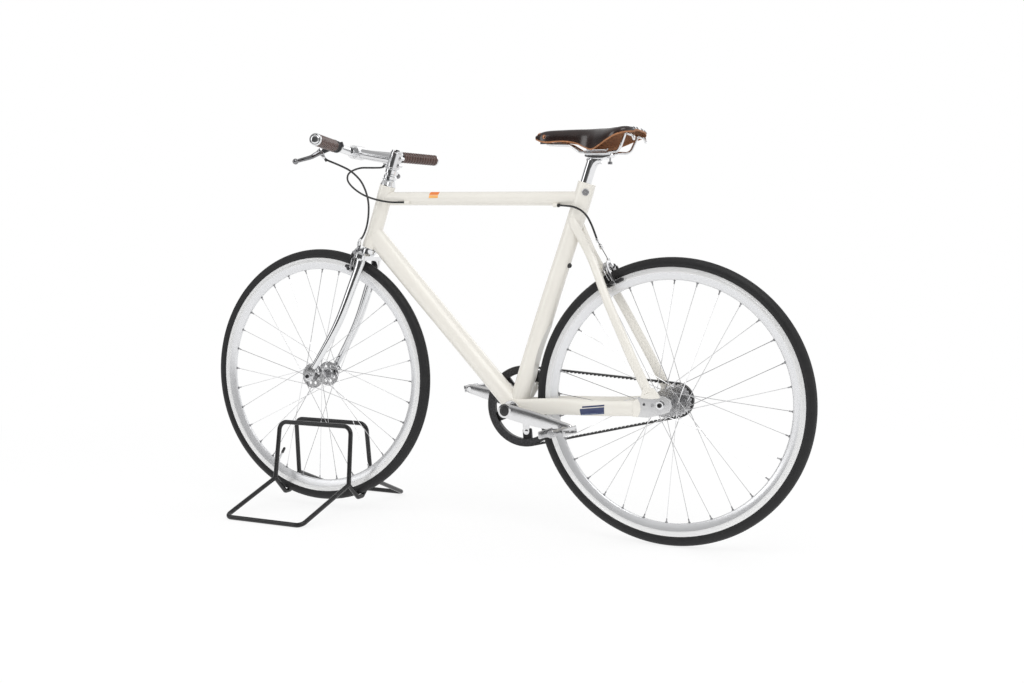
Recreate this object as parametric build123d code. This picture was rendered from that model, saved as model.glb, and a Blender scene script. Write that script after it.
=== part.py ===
from build123d import *
import math
import os

os.makedirs("parts", exist_ok=True)

# City bicycle with a belt drive, standing on its display stand. Millimetres.
# The bicycle is drawn in its own frame: rear axle at the origin, X forward along the line of the
# two axles, Y to the left, Z up. park() then sets it down on the floor. The stand and its front
# wheel cradle are drawn straight in the floor frame.

# ---------------------------------------------------------------- driving dimensions: stance
wheelbase = 986.9            # between the two axles
stand_lift = 21.5            # how far the stand raises the front tyre off the floor
tyre_radius = 339.0          # 28-622 tyre, outside
tyre_section = 28.0
rim_radius = 316.0           # where tyre and rim meet
rim_depth = 30.0
rim_width = 20.0
brake_track = 13.0           # height of the machined flank the pads press on

pitch_deg = math.degrees(math.asin(stand_lift / wheelbase))
half_base = wheelbase * math.cos(math.radians(pitch_deg)) / 2

# ---------------------------------------------------------------- driving dimensions: wheels
spoke_radius = 1.0
spoke_seat_out = 1.7         # spoke clear of the flange's outer face
spoke_seat_in = 0.4          # and of its inner face
spokes_per_wheel = 32
spoke_crossing = 3           # each spoke crosses three others
flange_radius = 33.0
flange_thick = 3.0
flange_hole_circle = 28.5    # radius of the spoke hole circle
hub_barrel_radius = 13.0
front_flange_gap = 70.0      # between the two flanges' middles
rear_flange_left = 33.0      # rear flanges sit unevenly, to leave room for the belt
rear_flange_right = 25.0
front_hub_width = 100.0      # between the fork ends
rear_hub_width = 135.0       # between the rear dropouts
axle_radius = 4.9
run_gap = 0.05               # radial running clearance on a shaft
face_gap = 0.5               # end clearance beside a turning part

# ---------------------------------------------------------------- driving dimensions: steering
head_angle = 72.6
fork_rake = 41.7
fork_length = 372.0          # axle line to the crown race, along the steerer
crown_height = 27.0
crown_shoulder = 17.0        # height of the crown where the blades join it
crown_cheek = 0.7            # crown outside the blades
race_radius = 20.0
steerer_radius = 14.3
head_length = 168.9
head_radius = 19.5
head_top_radius = 20.5
head_bottom_radius = 22.0
head_bore = 17.0
turn_gap = 6.5               # clear of what turns with the fork
bearing_height = 12.0
headset_gap = 3.6            # crown race to head tube, and head tube to the top cone
blade_top_y = 37.0           # half spread of the blades under the crown
blade_top_r = -4.0           # the blades leave the crown just behind the steerer axis
blade_top_long = 13.5        # half depth of a blade under the crown
blade_top_wide = 9.0
blade_tip_s = 26.0           # the blade ends this far above the axle
crown_front = 12.0           # flat front face of the crown, where the caliper bolts on
fork_end_thick = 6.0
eyelet_radius = 2.5          # M5 mudguard eyelet
eyelet_boss = 6.0

# ---------------------------------------------------------------- driving dimensions: cockpit
stem_reach = 116.5           # steerer axis to bar centre, square to the steerer
stem_bar_s = 599.1           # bar centre, measured up the steerer from the axle's foot
stem_top_s = 634.0
stem_collar_height = 42.0
stem_collar_radius = 17.0
stem_arm_radius = 13.0
bar_radius = 11.1
bar_clamp_radius = 12.7
bar_clamp_half = 25.0
bar_straight = 40.0          # half length of the straight middle
bar_half_width = 287.0
bar_end_r = 50.7             # bar end, ahead of the steerer axis
bar_end_s = 623.4
bar_bend = 60.0
grip_length = 128.0
grip_radius = 15.0
plug_length = 5.0
lever_clamp_y = 140.0
lever_tip_y = 240.0
lever_thick = 6.0
lever_boss = 9.0

# ---------------------------------------------------------------- driving dimensions: brakes
pivot_height = 353.0         # caliper bolt to the axle line of its wheel
caliper_stand = 8.0          # front of the mount to the back of the arms
caliper_deep = 12.0
arch_z = -22.0               # middle of the arch, below the pivot
arch_outer = 34.0
arch_inner = 22.0
pad_gap = 1.0                # rim to brake pad
pad_length = 44.0
pad_height = 8.0
pad_radius = rim_radius - brake_track / 2 - 0.5
cable_radius = 2.5
inner_cable_radius = 1.0
port_radius = 5.0            # boss where a cable enters the top tube
port_length = 9.0

# ---------------------------------------------------------------- driving dimensions: frame
bb_x = 396.1
bb_z = -44.6
bb_radius = 23.0
bb_width = 68.0
bb_bore = 17.0
seat_angle = 73.3
seat_tube_length = 581.0
seat_tube_radius = 20.0
seat_top_deep = 22.3         # half depth at the top, where the post clamp is built in
seat_top_back = 3.5          # and how far its middle stands behind the post
seat_post_radius = 13.6
seat_post_insert = 120.0
wheel_relief = 12.5          # the seat tube and stays stay this far off the rear tyre
top_tube_z = 473.8
top_tube_radius = 17.2
down_tube_wide = 19.0        # half width at the head tube
down_tube_radius = 25.5
down_head_s = 411.0          # where the down tube's centre line meets the steerer axis
chainstay_high = 20.0
chainstay_low = 17.5
chainstay_wide = 7.3         # half width, narrow enough to pass between tyre and sprocket
stay_low_x = 33.0            # lower end of the seatstays
stay_low_z = 26.0
stay_lean = 0.56             # forward for each unit up
dropout_thick = 6.0
bridge_radius = 7.0
bridge_z = 300.0             # where the seatstays pass the brake pivot's height above the wheel
bridge_depth = 12.0          # from the stays' line back to the brake

# ---------------------------------------------------------------- driving dimensions: saddle
post_height = 54.0           # post above the seat tube
clamp_length = 62.0
rail_radius = 3.5
rail_y = 22.0                # half spread of the rails at the clamp
rail_z = 582.0
saddle_thick = 5.0

# ---------------------------------------------------------------- driving dimensions: drive
belt_pitch = 10.5
front_teeth = 60
rear_teeth = 24
belt_y = -47.5
belt_width = 12.0
belt_back = 1.7              # belt outside the pitch line
belt_land = 0.8              # belt inside the pitch line, down to the sprocket's teeth
tooth_gap = 0.3
tooth_depth = 3.2
crank_length = 170.0
crank_angle = -10.2          # left arm, below the line of the axles, pointing back
arm_thick = 13.0
arm_inner_y = 60.0
arm_boss = 17.5              # half width of the arm round the spindle
arm_broad = 18.5             # at its broadest
arm_broad_at = 62.0
arm_tip = 12.5
spindle_radius = 12.0
sprocket_inner = 83.0        # inside of the toothed ring
tab_reach = 57.0             # five tabs reach in this far
tab_half = 12.0
tab_angle = 48.0
spider_bolt = 64.0           # bolt circle
spider_half = 8.5
spider_face = 5.0            # arm thickness
spider_hub = 20.0
pedal_axle_radius = 5.0
pedal_inner_y = 16.0         # from the crank arm's outer face to the pedal body
pedal_width = 84.0
pedal_length = 65.0
pedal_height = 18.0
pedal_barrel = 10.5          # half length of the middle block
pedal_wall = 3.0
pedal_end = 4.0
pedal_tilt = 10.0            # nose down

# ---------------------------------------------------------------- driving dimensions: stand
stand_tube = 6.0
stand_hoop_y = 36.5          # hoops lean in towards the wheel at the top
stand_hoop_half = 115.0
stand_hoop_top = 230.0
stand_join_half = 119.0
stand_join_y = 54.0
stand_join_z = 78.0
stand_back = 5.5             # middle of the stand behind the axle
stand_foot_y = 245.0
stand_foot_ahead = 14.0      # floor bars ahead of the stand's middle
cradle_gap = 0.5             # tyre to cross bar

front_pitch_radius = front_teeth * belt_pitch / (2 * math.pi)
rear_pitch_radius = rear_teeth * belt_pitch / (2 * math.pi)


# ---------------------------------------------------------------- frames and helpers
def v(x, y, z):
    return Vector(x, y, z)


def park(shape):
    """Bicycle frame to floor frame."""
    return shape.moved(Location((-half_base, 0, tyre_radius), (0, -pitch_deg, 0)))


written = []


def save(name, *shapes):
    solids = []
    for shape in shapes:
        solids.extend(shape.solids())
    export_step(Compound(children=[Solid(s.wrapped) for s in solids], label=name), f"parts/{name}.step")
    written.append(name)


head_rad = math.radians(head_angle)
steer_up = v(-math.cos(head_rad), 0, math.sin(head_rad))
steer_ahead = v(math.sin(head_rad), 0, math.cos(head_rad))
steer_foot = v(wheelbase, 0, 0) - steer_ahead * fork_rake
steer_frame = Plane(origin=steer_foot, x_dir=steer_ahead, z_dir=steer_up)


def on_fork(shape):
    """Steerer frame (X ahead, Y left, Z up the steerer, from the axle's foot) to floor frame."""
    return park(steer_frame.location * shape)


def rod(start, end, radius):
    start = Vector(start)
    end = Vector(end)
    along = end - start
    plane = Plane(origin=start, z_dir=along)
    return extrude(plane * Circle(radius), amount=along.length)


def oval_plane(centre, along, across=v(0, 1, 0)):
    """A section plane whose X runs across and whose Y lies in the tube's depth."""
    return Plane(origin=centre, x_dir=across, z_dir=along)


def tapered(stations, ruled=False):
    """A tube through stations of (centre, half width across, half depth)."""
    faces = []
    count = len(stations)
    for i, (centre, wide, deep) in enumerate(stations):
        before = Vector(stations[max(i - 1, 0)][0])
        after = Vector(stations[min(i + 1, count - 1)][0])
        plane = oval_plane(centre, after - before)
        faces.append(plane * Ellipse(wide, deep))
    return loft(faces, ruled=ruled)


def disc(radius, y_from, y_to, x=0.0, z=0.0):
    """A round slab whose axis runs across the bicycle."""
    plane = Plane(origin=(x, y_from, z), x_dir=(1, 0, 0), z_dir=(0, 1, 0))
    return extrude(plane * Circle(radius), amount=y_to - y_from)


def plate(points, y_from, y_to):
    """A flat plate standing fore and aft, from an outline of (x, z) points."""
    outline = Polyline([(x, y_from, z) for x, z in points], close=True)
    return extrude(make_face(outline), amount=y_to - y_from, dir=(0, 1, 0))


def turned(profile):
    """Revolve an outline of (radius, y) points about the wheel axis."""
    outline = Polyline([(radius, y, 0) for radius, y in profile], close=True)
    return revolve(make_face(outline), axis=Axis.Y)


def bent_tube(points, radius, bends):
    path = FilletPolyline(*points, radius=bends)
    start = path @ 0
    section = Plane(origin=start, z_dir=path % 0) * Circle(radius)
    return sweep(section, path=path)


def largest_bends(points):
    """The largest arc each corner of a cable's route has room for."""
    bends = []
    for before, here, after in zip(points, points[1:], points[2:]):
        first = Vector(here) - Vector(before)
        second = Vector(after) - Vector(here)
        turn = math.radians(first.get_angle(second))
        bends.append(0.45 * min(first.length, second.length) / math.tan(turn / 2))
    return bends


def mirrored(shape):
    return mirror(shape, about=Plane.XZ)


# ---------------------------------------------------------------- wheels
def tyre():
    centre_radius = tyre_radius - tyre_section / 2
    ring = revolve(Plane.XY * Pos(centre_radius, 0) * Circle(tyre_section / 2), axis=Axis.Y)
    return ring - disc(rim_radius, -tyre_section, tyre_section)


def rim():
    half = rim_width / 2
    inner = rim_radius - rim_depth
    track = rim_radius - brake_track
    profile = [(rim_radius, -half), (rim_radius, half), (track, half), (track - 9, half - 3),
               (inner, 3.5), (inner, -3.5), (track - 9, -half + 3), (track, -half)]
    return turned(profile)


def hub(left_y, right_y, half_width):
    """Shell with two high flanges, bored for its axle."""
    end = half_width - face_gap
    shell = disc(hub_barrel_radius, -right_y, left_y)
    shell += disc(hub_barrel_radius - 3, -end, end)
    for middle in (left_y, -right_y):
        flange = disc(flange_radius, middle - flange_thick / 2, middle + flange_thick / 2)
        for k in range(8):
            angle = math.radians(45 * k + 22.5)
            reach = flange_hole_circle - 8
            flange -= disc(4.5, middle - 5, middle + 5, reach * math.cos(angle), reach * math.sin(angle))
        shell += flange
    return shell - disc(axle_radius + run_gap, -half_width, half_width)


def spokes(left_y, right_y):
    """Straight spokes from the flange edge to the rim, laced three-cross."""
    made = []
    per_side = spokes_per_wheel // 2
    rim_reach = rim_radius - rim_depth - 0.6
    cross_angle = spoke_crossing * 360.0 / per_side
    for side, flange_y in ((1, left_y), (-1, right_y)):
        for k in range(per_side):
            lead = 1 if k % 2 else -1
            rim_angle = math.radians(360.0 / spokes_per_wheel * (2 * k + (0 if side > 0 else 1)))
            hub_angle = rim_angle + math.radians(lead * cross_angle)
            off = flange_thick / 2 + spoke_radius + (spoke_seat_out if lead > 0 else spoke_seat_in)
            y_hub = side * (flange_y + lead * off)
            start = v(flange_hole_circle * math.cos(hub_angle), y_hub,
                      flange_hole_circle * math.sin(hub_angle))
            end = v(rim_reach * math.cos(rim_angle), side * lead * 1.4, rim_reach * math.sin(rim_angle))
            made.append(rod(start, end, spoke_radius))
    return made


def wheel(name, centre_x, left_y, right_y, half_width):
    def at_axle(shape):
        return park(shape.moved(Location((centre_x, 0, 0))))
    save(name + "_tyre", at_axle(tyre()))
    save(name + "_rim", at_axle(rim()))
    save(name + "_hub", at_axle(hub(left_y, right_y, half_width)))
    save(name + "_spokes", *[at_axle(s) for s in spokes(left_y, right_y)])


wheel("front", wheelbase, front_flange_gap / 2, front_flange_gap / 2, front_hub_width / 2 - 6)
wheel("rear", 0.0, rear_flange_left, rear_flange_right, belt_y * -1 - belt_width / 2 - 3)

# ---------------------------------------------------------------- fork
crown_top = fork_length
crown_low = fork_length - crown_height


def fork_crown():
    """Race seat, shoulders and steerer in one forging."""
    race = extrude(Plane.XY.offset(crown_low + crown_shoulder) * Circle(race_radius),
                   amount=crown_height - crown_shoulder)
    half = blade_top_y + blade_top_wide + crown_cheek
    back = blade_top_r - blade_top_long
    outline = Pos((crown_front + back) / 2, 0) * RectangleRounded(crown_front - back, 2 * half, 8)
    slab = extrude(Plane.XY.offset(crown_low) * outline, amount=crown_shoulder)
    slab = chamfer(slab.faces().sort_by(Axis.Z)[-1].edges(), 5)
    steerer_low = crown_low + crown_shoulder
    steerer = extrude(Plane.XY.offset(steerer_low) * Circle(steerer_radius), amount=stem_top_s - steerer_low)
    return slab + race + steerer


def fork_blade():
    """Oval under the crown, nearly straight to the bend, curved ahead at the tip."""
    end_y = front_hub_width / 2 + fork_end_thick / 2
    course = [(crown_low, blade_top_r, blade_top_wide, blade_top_long), (265, -3.5, 9.0, 12.9),
              (210, -0.5, 8.8, 12.2), (155, 5.7, 8.5, 11.2), (99, 17.5, 8.0, 10.0),
              (55, 28.5, 7.4, 9.2), (blade_tip_s, 36.5, 7.0, 8.8)]
    stations = []
    for up, ahead, wide, long in course:
        t = (crown_low - up) / (crown_low - blade_tip_s)
        side = blade_top_y + (end_y - blade_top_y) * t
        stations.append((v(ahead, side, up), wide, long))
    return tapered(stations)


def fork_end():
    """Slotted plate below the blade with its mudguard eyelet."""
    y0 = front_hub_width / 2
    y1 = y0 + fork_end_thick
    outline = [(fork_rake - 13, 27), (fork_rake + 3, 29), (fork_rake + 12, 10), (fork_rake + 12, -8),
               (fork_rake + 4, -14), (fork_rake - 8, -12), (fork_rake - 13, 0)]
    body = plate(outline, y0, y1)
    eyelet = disc(eyelet_boss, y0, y1, fork_rake - 17, 22)
    body += eyelet
    body -= disc(eyelet_radius, y0 - 1, y1 + 1, fork_rake - 17, 22)
    body -= disc(axle_radius, y0 - 1, y1 + 1, fork_rake, 0)
    return body


crown = fork_crown()
end_plate = fork_end()
blade = fork_blade() - end_plate - crown
save("fork_crown", on_fork(crown))
save("fork_blades", on_fork(blade), on_fork(mirrored(blade)))
save("fork_ends", on_fork(end_plate), on_fork(mirrored(end_plate)))


def axle(half_width, thick, nut_radius, nut_length):
    """Spindle, its cones inside the frame ends and its nuts outside them."""
    outer = half_width + thick
    made = disc(axle_radius, -outer - nut_length, outer + nut_length)
    for side in (1, -1):
        ends = sorted((side * outer, side * (outer + nut_length)))
        made += disc(nut_radius, ends[0], ends[1])
    return made


front_axle = axle(front_hub_width / 2, fork_end_thick, 8.0, 7.0)
for side in (1, -1):
    cone = sorted((side * (front_hub_width / 2 - 6 + face_gap), side * front_hub_width / 2))
    front_axle += disc(8.0, cone[0], cone[1])
save("front_axle", park(front_axle.moved(Location((wheelbase, 0, 0)))))

# ---------------------------------------------------------------- stem and bars
head_low = fork_length + headset_gap
head_high = head_low + head_length


def headset_cone():
    profile = [(steerer_radius, head_high + face_gap), (head_top_radius - 0.5, head_high + face_gap),
               (head_top_radius - 0.5, head_high + 2.5), (steerer_radius + 1.5, head_high + 13),
               (steerer_radius, head_high + 13)]
    outline = Polyline([(radius, 0, s) for radius, s in profile], close=True)
    return revolve(make_face(outline), axis=Axis.Z)


save("headset_cone", on_fork(headset_cone()))

bar_middle = v(stem_reach, 0, stem_bar_s)
bar_end = v(bar_end_r, bar_half_width, bar_end_s)
bar_knee = v(stem_reach, bar_straight, stem_bar_s)


def bar_point(y):
    """Centre of the swept part of the bar at a given distance from the middle."""
    t = (y - bar_straight) / (bar_half_width - bar_straight)
    return bar_knee + (bar_end - bar_knee) * t


def handlebar():
    points = [(bar_end_r, -bar_half_width, bar_end_s), (stem_reach, -bar_straight, stem_bar_s),
              (stem_reach, bar_straight, stem_bar_s), (bar_end_r, bar_half_width, bar_end_s)]
    tube = bent_tube(points, bar_radius, bar_bend)
    sleeve = disc(bar_clamp_radius, -bar_clamp_half, bar_clamp_half, stem_reach, stem_bar_s)
    return tube + sleeve


def stem():
    low = stem_top_s - stem_collar_height
    collar = extrude(Plane.XY.offset(low) * Circle(stem_collar_radius), amount=stem_collar_height)
    collar = fillet(collar.edges(), 2.0)
    arm = rod((0, 0, stem_top_s - 20), (stem_reach - 8, 0, stem_bar_s), stem_arm_radius)
    clamp = disc(bar_clamp_radius + 5.0, -21, 21, stem_reach, stem_bar_s)
    body = collar + arm + clamp
    body -= disc(bar_clamp_radius, -30, 30, stem_reach, stem_bar_s)
    body -= extrude(Plane.XY.offset(0) * Circle(steerer_radius), amount=stem_top_s)
    cap = extrude(Plane.XY.offset(stem_top_s) * Circle(stem_collar_radius - 2), amount=4)
    return body + cap


save("stem", on_fork(stem()))
save("handlebar", on_fork(handlebar()))


def along_bar(y_from, y_to, radius, bore=None):
    """A sleeve on the left half of the bar."""
    made = rod(bar_point(y_from), bar_point(y_to), radius)
    if bore:
        away = (bar_point(y_to) - bar_point(y_from)).normalized()
        made -= rod(bar_point(y_from) - away, bar_point(y_to) + away, bore)
    return made


grip_inner_y = bar_half_width - grip_length
grip = along_bar(grip_inner_y, bar_half_width, grip_radius, bar_radius)
plug = along_bar(bar_half_width, bar_half_width + plug_length, grip_radius)
plug = fillet(plug.edges().filter_by(GeomType.CIRCLE).sort_by(Axis.Y)[-1:], 3.0)
save("grip_left", on_fork(grip))
save("grip_right", on_fork(mirrored(grip)))
save("bar_end_plugs", on_fork(plug), on_fork(mirrored(plug)))


lever_centre = bar_point(lever_clamp_y)
lever_pivot = lever_centre + v(30, 14, -24)


def brake_lever():
    """Clamp band on the bar, hood below it and the blade reaching out in front of the grip."""
    half_band = 6.0
    band = along_bar(lever_clamp_y - half_band, lever_clamp_y + half_band, 15.0, bar_radius)
    pivot = lever_pivot
    hood = rod(lever_centre + v(6, 0, -11), pivot, 8.0)
    hood -= rod(bar_point(lever_clamp_y - 30), bar_point(lever_clamp_y + 30), bar_radius)
    tip = bar_point(lever_tip_y) + v(61.5, 0, -67.6)
    knee = bar_point(lever_tip_y - 60) + v(48, 0, -46)
    blade = rod(pivot, knee, lever_thick) + Pos(*knee) * Sphere(lever_thick) + rod(knee, tip, lever_thick)
    blade += Pos(*tip) * Sphere(lever_thick + 2.0)
    boss = Pos(*pivot) * Sphere(lever_boss)
    return band + hood + boss + blade


lever = brake_lever()
save("brake_lever_left", on_fork(lever))
save("brake_lever_right", on_fork(mirrored(lever)))


# ---------------------------------------------------------------- brakes
def caliper(pivot_s, seat):
    """Dual pivot caliper in its own frame: X away from its mount, Y left, Z away from the axle."""
    pad_z = rim_radius - brake_track / 2 - pivot_s
    plane = Plane.YZ.offset(caliper_stand)
    arch = extrude(plane * Pos(0, arch_z) * Circle(arch_outer), amount=caliper_deep)
    arch -= extrude(plane * Pos(0, arch_z) * Circle(arch_inner), amount=caliper_deep)
    arch -= extrude(plane * Pos(0, arch_z - arch_outer) * Rectangle(3 * arch_outer, 2 * arch_outer),
                    amount=caliper_deep)
    for side in (1, -1):
        middle = side * (arch_outer + arch_inner) / 2
        leg = Rectangle(arch_outer - arch_inner, arch_z - pad_z + 10)
        leg = plane * Pos(middle, (arch_z + pad_z) / 2) * leg
        arch += extrude(leg, amount=caliper_deep)
    arch += rod((0.5, 0, 0), (caliper_stand + caliper_deep + 4, 0, 0), 6.5)
    arch += rod((caliper_stand, 20, -2), (caliper_stand + caliper_deep + 3, 20, -2), 6.0)
    arm = rod((14, 16, 2), seat - v(0, 0, 10), 5.0)
    barrel = rod(seat - v(0, 0, 10), seat, 4.0)
    return arch + arm + barrel


def brake_pads(pivot_s, axle_x):
    """Two shoes laid along the rim, which turns about axle_x in the caliper's frame."""
    off = caliper_stand + caliper_deep / 2 - axle_x
    up = math.sqrt(pad_radius ** 2 - off ** 2) - pivot_s
    turn = math.degrees(math.asin(off / pad_radius))
    inner = rim_width / 2 + pad_gap
    thick = arch_inner - inner
    made = []
    for side in (1, -1):
        at = Location((off + axle_x, side * (inner + thick / 2), up), (0, turn, 0))
        made.append(Box(pad_length, thick, pad_height).moved(at))
    return made


def mount_caliper(name, frame, place, seat, axle_x):
    body = frame.location * caliper(pivot_height, seat)
    save(name + "_caliper", place(body))
    save(name + "_brake_pads", *[place(frame.location * pad) for pad in brake_pads(pivot_height, axle_x)])
    return body


front_caliper_frame = Plane(origin=v(crown_front, 0, pivot_height), x_dir=v(1, 0, 0), z_dir=v(0, 0, 1))
front_caliper = mount_caliper("front", front_caliper_frame, on_fork, v(18 - crown_front, 30, 35),
                              fork_rake - crown_front)


# ---------------------------------------------------------------- frame
def head_tube(bore):
    profile = [(bore, head_low), (head_bottom_radius, head_low), (head_bottom_radius, head_low + 14),
               (head_radius, head_low + 42), (head_radius, head_high - 48),
               (head_top_radius, head_high - 22), (head_top_radius, head_high), (bore, head_high)]
    outline = Polyline([(radius, 0, s) for radius, s in profile], close=True)
    return revolve(make_face(outline), axis=Axis.Z)


def headset_bearings():
    made = []
    for s in (head_low, head_high - bearing_height):
        ring = extrude(Plane.XY.offset(s) * Circle(head_bore), amount=bearing_height)
        ring -= extrude(Plane.XY.offset(s) * Circle(steerer_radius + run_gap), amount=bearing_height)
        made.append(ring)
    return made


save("head_tube", on_fork(head_tube(head_bore)))
save("headset_bearings", *[on_fork(r) for r in headset_bearings()])

bb = v(bb_x, 0, bb_z)
seat_rad = math.radians(seat_angle)
seat_up = v(-math.cos(seat_rad), 0, math.sin(seat_rad))
seat_top = bb + seat_up * seat_tube_length


def steer_point(r, y, s):
    return steer_foot + steer_ahead * r + v(0, y, 0) + steer_up * s


head_block = steer_frame.location * extrude(Plane.XY.offset(crown_low) * Circle(race_radius + turn_gap),
                                            amount=crown_top + turn_gap - crown_low)
head_whole = steer_frame.location * head_tube(0)
bb_block = disc(bb_radius, -bb_width / 2 - 20, bb_width / 2 + 20, bb_x, bb_z)


def seat_tube_raw():
    """Round at the top, deeper towards the bottom, hollowed round the rear wheel."""
    rear = v(-seat_up.Z, 0, seat_up.X)
    stations = [(bb, 22.0, 24.0), (bb + seat_up * 110, 21.5, 24.0), (bb + seat_up * 260, 20.5, 23.0),
                (bb + seat_up * 380 + rear * 1.5, seat_tube_radius, 22.0),
                (bb + seat_up * 480 + rear * seat_top_back, seat_tube_radius, seat_top_deep),
                (seat_top + rear * seat_top_back, seat_tube_radius, seat_top_deep)]
    return tapered(stations)


seat_whole = seat_tube_raw()
wheel_space = disc(tyre_radius + wheel_relief, -60, 60)
seat_tube = seat_whole - wheel_space - bb_block
post_low = seat_top - seat_up * seat_post_insert
seat_tube -= rod(post_low, seat_top + seat_up, seat_post_radius)
save("seat_tube", park(seat_tube))


top_front_x = wheelbase - fork_rake / math.sin(head_rad) - top_tube_z / math.tan(head_rad)
top_rear_x = bb_x - (top_tube_z - bb_z) / math.tan(seat_rad)
top_whole = rod((top_rear_x, 0, top_tube_z), (top_front_x, 0, top_tube_z), top_tube_radius)
top_made = top_whole - head_whole - seat_whole


def down_tube():
    head_point = steer_point(0, 0, down_head_s)
    along = (bb - head_point).normalized()
    near_head = head_point + along * 60
    stations = [(head_point, down_tube_wide, 27.0), (near_head, down_tube_wide + 1.5, 26.5),
                (head_point + along * 160, 23.0, 26.0),
                (head_point + along * 300, down_tube_radius, down_tube_radius),
                (bb, down_tube_radius, down_tube_radius)]
    tube = tapered(stations)
    return tube - head_whole - head_block - bb_block - seat_whole


save("down_tube", park(down_tube()))
bb_shell = disc(bb_radius, -bb_width / 2, bb_width / 2, bb_x, bb_z)
bb_shell -= disc(bb_bore, -bb_width, bb_width, bb_x, bb_z)
save("bottom_bracket_shell", park(bb_shell))


def bottom_bracket_cups():
    made = []
    for side in (1, -1):
        inside = sorted((side * (bb_width / 2 - 12), side * bb_width / 2))
        outside = sorted((side * bb_width / 2, side * (bb_width / 2 + 3.5)))
        cup = disc(bb_bore, inside[0], inside[1], bb_x, bb_z)
        cup += disc(bb_radius - 2, outside[0], outside[1], bb_x, bb_z)
        cup -= disc(spindle_radius + run_gap, -bb_width, bb_width, bb_x, bb_z)
        made.append(cup)
    return made


save("bottom_bracket_cups", *[park(c) for c in bottom_bracket_cups()])

# ---------------------------------------------------------------- rear triangle
dropout_y = rear_hub_width / 2 + dropout_thick / 2


def dropout():
    """Plate that joins the two stays and carries the axle in a slot."""
    y0 = rear_hub_width / 2
    y1 = y0 + dropout_thick
    outline = [(58, -31), (58, 10), (47, 16), (45, 36), (20, 36), (8, 26), (-8, 22), (-24, 14),
               (-27, -2), (-20, -16), (0, -24), (30, -31)]
    body = plate(outline, y0, y1)
    body -= disc(axle_radius, y0 - 1, y1 + 1)
    body -= disc(eyelet_radius, y0 - 1, y1 + 1, 42, -1)
    return body


dropout_left = dropout()


def chainstay():
    stations = [(v(bb_x - 4, 20.5, bb_z + 6), chainstay_wide, 19.0),
                (v(324, 26.6, -33), chainstay_wide, chainstay_high),
                (v(296, 28.2, -30), chainstay_wide, chainstay_high),
                (v(200, 42, -24), chainstay_wide, 19.0), (v(115, 57, -18), 7.2, 18.0),
                (v(46, dropout_y - 0.2, -13), 5.8, chainstay_low)]
    stay = tapered(stations) - bb_block - dropout_left - seat_whole
    return stay.solids().sort_by(lambda s: s.volume)[-1]


def stay_x(z):
    """Both seatstays run along one straight line seen from the side."""
    return stay_low_x + (z - stay_low_z) * stay_lean


# Height, half spread, half width, half depth: wide round the tyre, close together above it.
stay_course = [(stay_low_z, dropout_y, 6.0, 11.5), (75, 66.0, 7.0, 11.5), (130, 60.0, 7.5, 11.5),
               (190, 51.0, 8.0, 11.2), (233, 43.0, 8.0, 11.0), (276, 29.0, 8.0, 11.0), (318, 14.5, 8.0, 11.0),
               (360, 11.0, 8.0, 11.0), (430, 10.5, 8.0, 11.0)]


def seatstay():
    stations = [(v(stay_x(z), y, z), wide, deep) for z, y, wide, deep in stay_course]
    return tapered(stations) - seat_whole - dropout_left


chainstay_left = chainstay()
seatstay_left = seatstay()
save("chainstays", park(chainstay_left), park(mirrored(chainstay_left)))
save("seatstays", park(seatstay_left), park(mirrored(seatstay_left)))
save("dropouts", park(dropout_left), park(mirrored(dropout_left)))

bridge_centre = v(stay_x(bridge_z), 0, bridge_z)
pivot_reach = bridge_centre.length
rear_out = bridge_centre.normalized()
rear_back = v(-rear_out.Z, 0, rear_out.X)
bridge = rod(bridge_centre - v(0, 21, 0), bridge_centre + v(0, 21, 0), bridge_radius)
bridge += rod(bridge_centre, bridge_centre + rear_back * bridge_depth, bridge_radius)
bridge = bridge - seatstay_left - mirrored(seatstay_left)
bridge_solids = bridge.solids().sort_by(lambda s: s.volume)
save("seatstay_bridge", park(bridge_solids[-1]))

rear_axle = axle(rear_hub_width / 2, dropout_thick, 9.0, 7.0)
rear_hub_end = belt_y * -1 - belt_width / 2 - 3
left_cone = disc(9.0, rear_hub_end, rear_hub_width / 2)
right_cone = disc(9.0, -rear_hub_width / 2, belt_y - belt_width / 2 - 3)
rear_axle = rear_axle + left_cone + right_cone
save("rear_axle", park(rear_axle))

# Rear caliper, behind the bridge and square to the wheel.
rear_mount = rear_out * pivot_reach + rear_back * bridge_depth
rear_caliper_frame = Plane(origin=rear_mount, x_dir=rear_back, z_dir=rear_out)
rear_seat = v(9, 36, 26)
rear_caliper = mount_caliper("rear", rear_caliper_frame, park, rear_seat, -bridge_depth)


# ---------------------------------------------------------------- seat
post_top = seat_top + seat_up * post_height
seat_post = rod(post_low + seat_up * 0.5, post_top, seat_post_radius)
rail_path = [v(330, 7, 604), v(270, 13, 601), v(238, rail_y - 2, rail_z), v(152, rail_y, rail_z),
             v(133, 38, rail_z), v(115, 43, 626)]
rail_bends = [25.0, 22.0, 14.0, 18.0]


def seat_clamp():
    """Cradle on top of the post, set back from it, that grips both rails."""
    middle_x = post_top.X - clamp_length / 2 + 12
    head = Box(clamp_length, 2 * rail_y + 10, 18).moved(Location((middle_x, 0, rail_z - 3)))
    head = fillet(head.edges().filter_by(Axis.Z), 5)
    neck = tapered([(post_top - seat_up * 26, seat_post_radius + 1.5, seat_post_radius + 1.5),
                    (post_top - v(10, 0, -4), 17, 20)])
    return head + neck - seat_post


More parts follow.
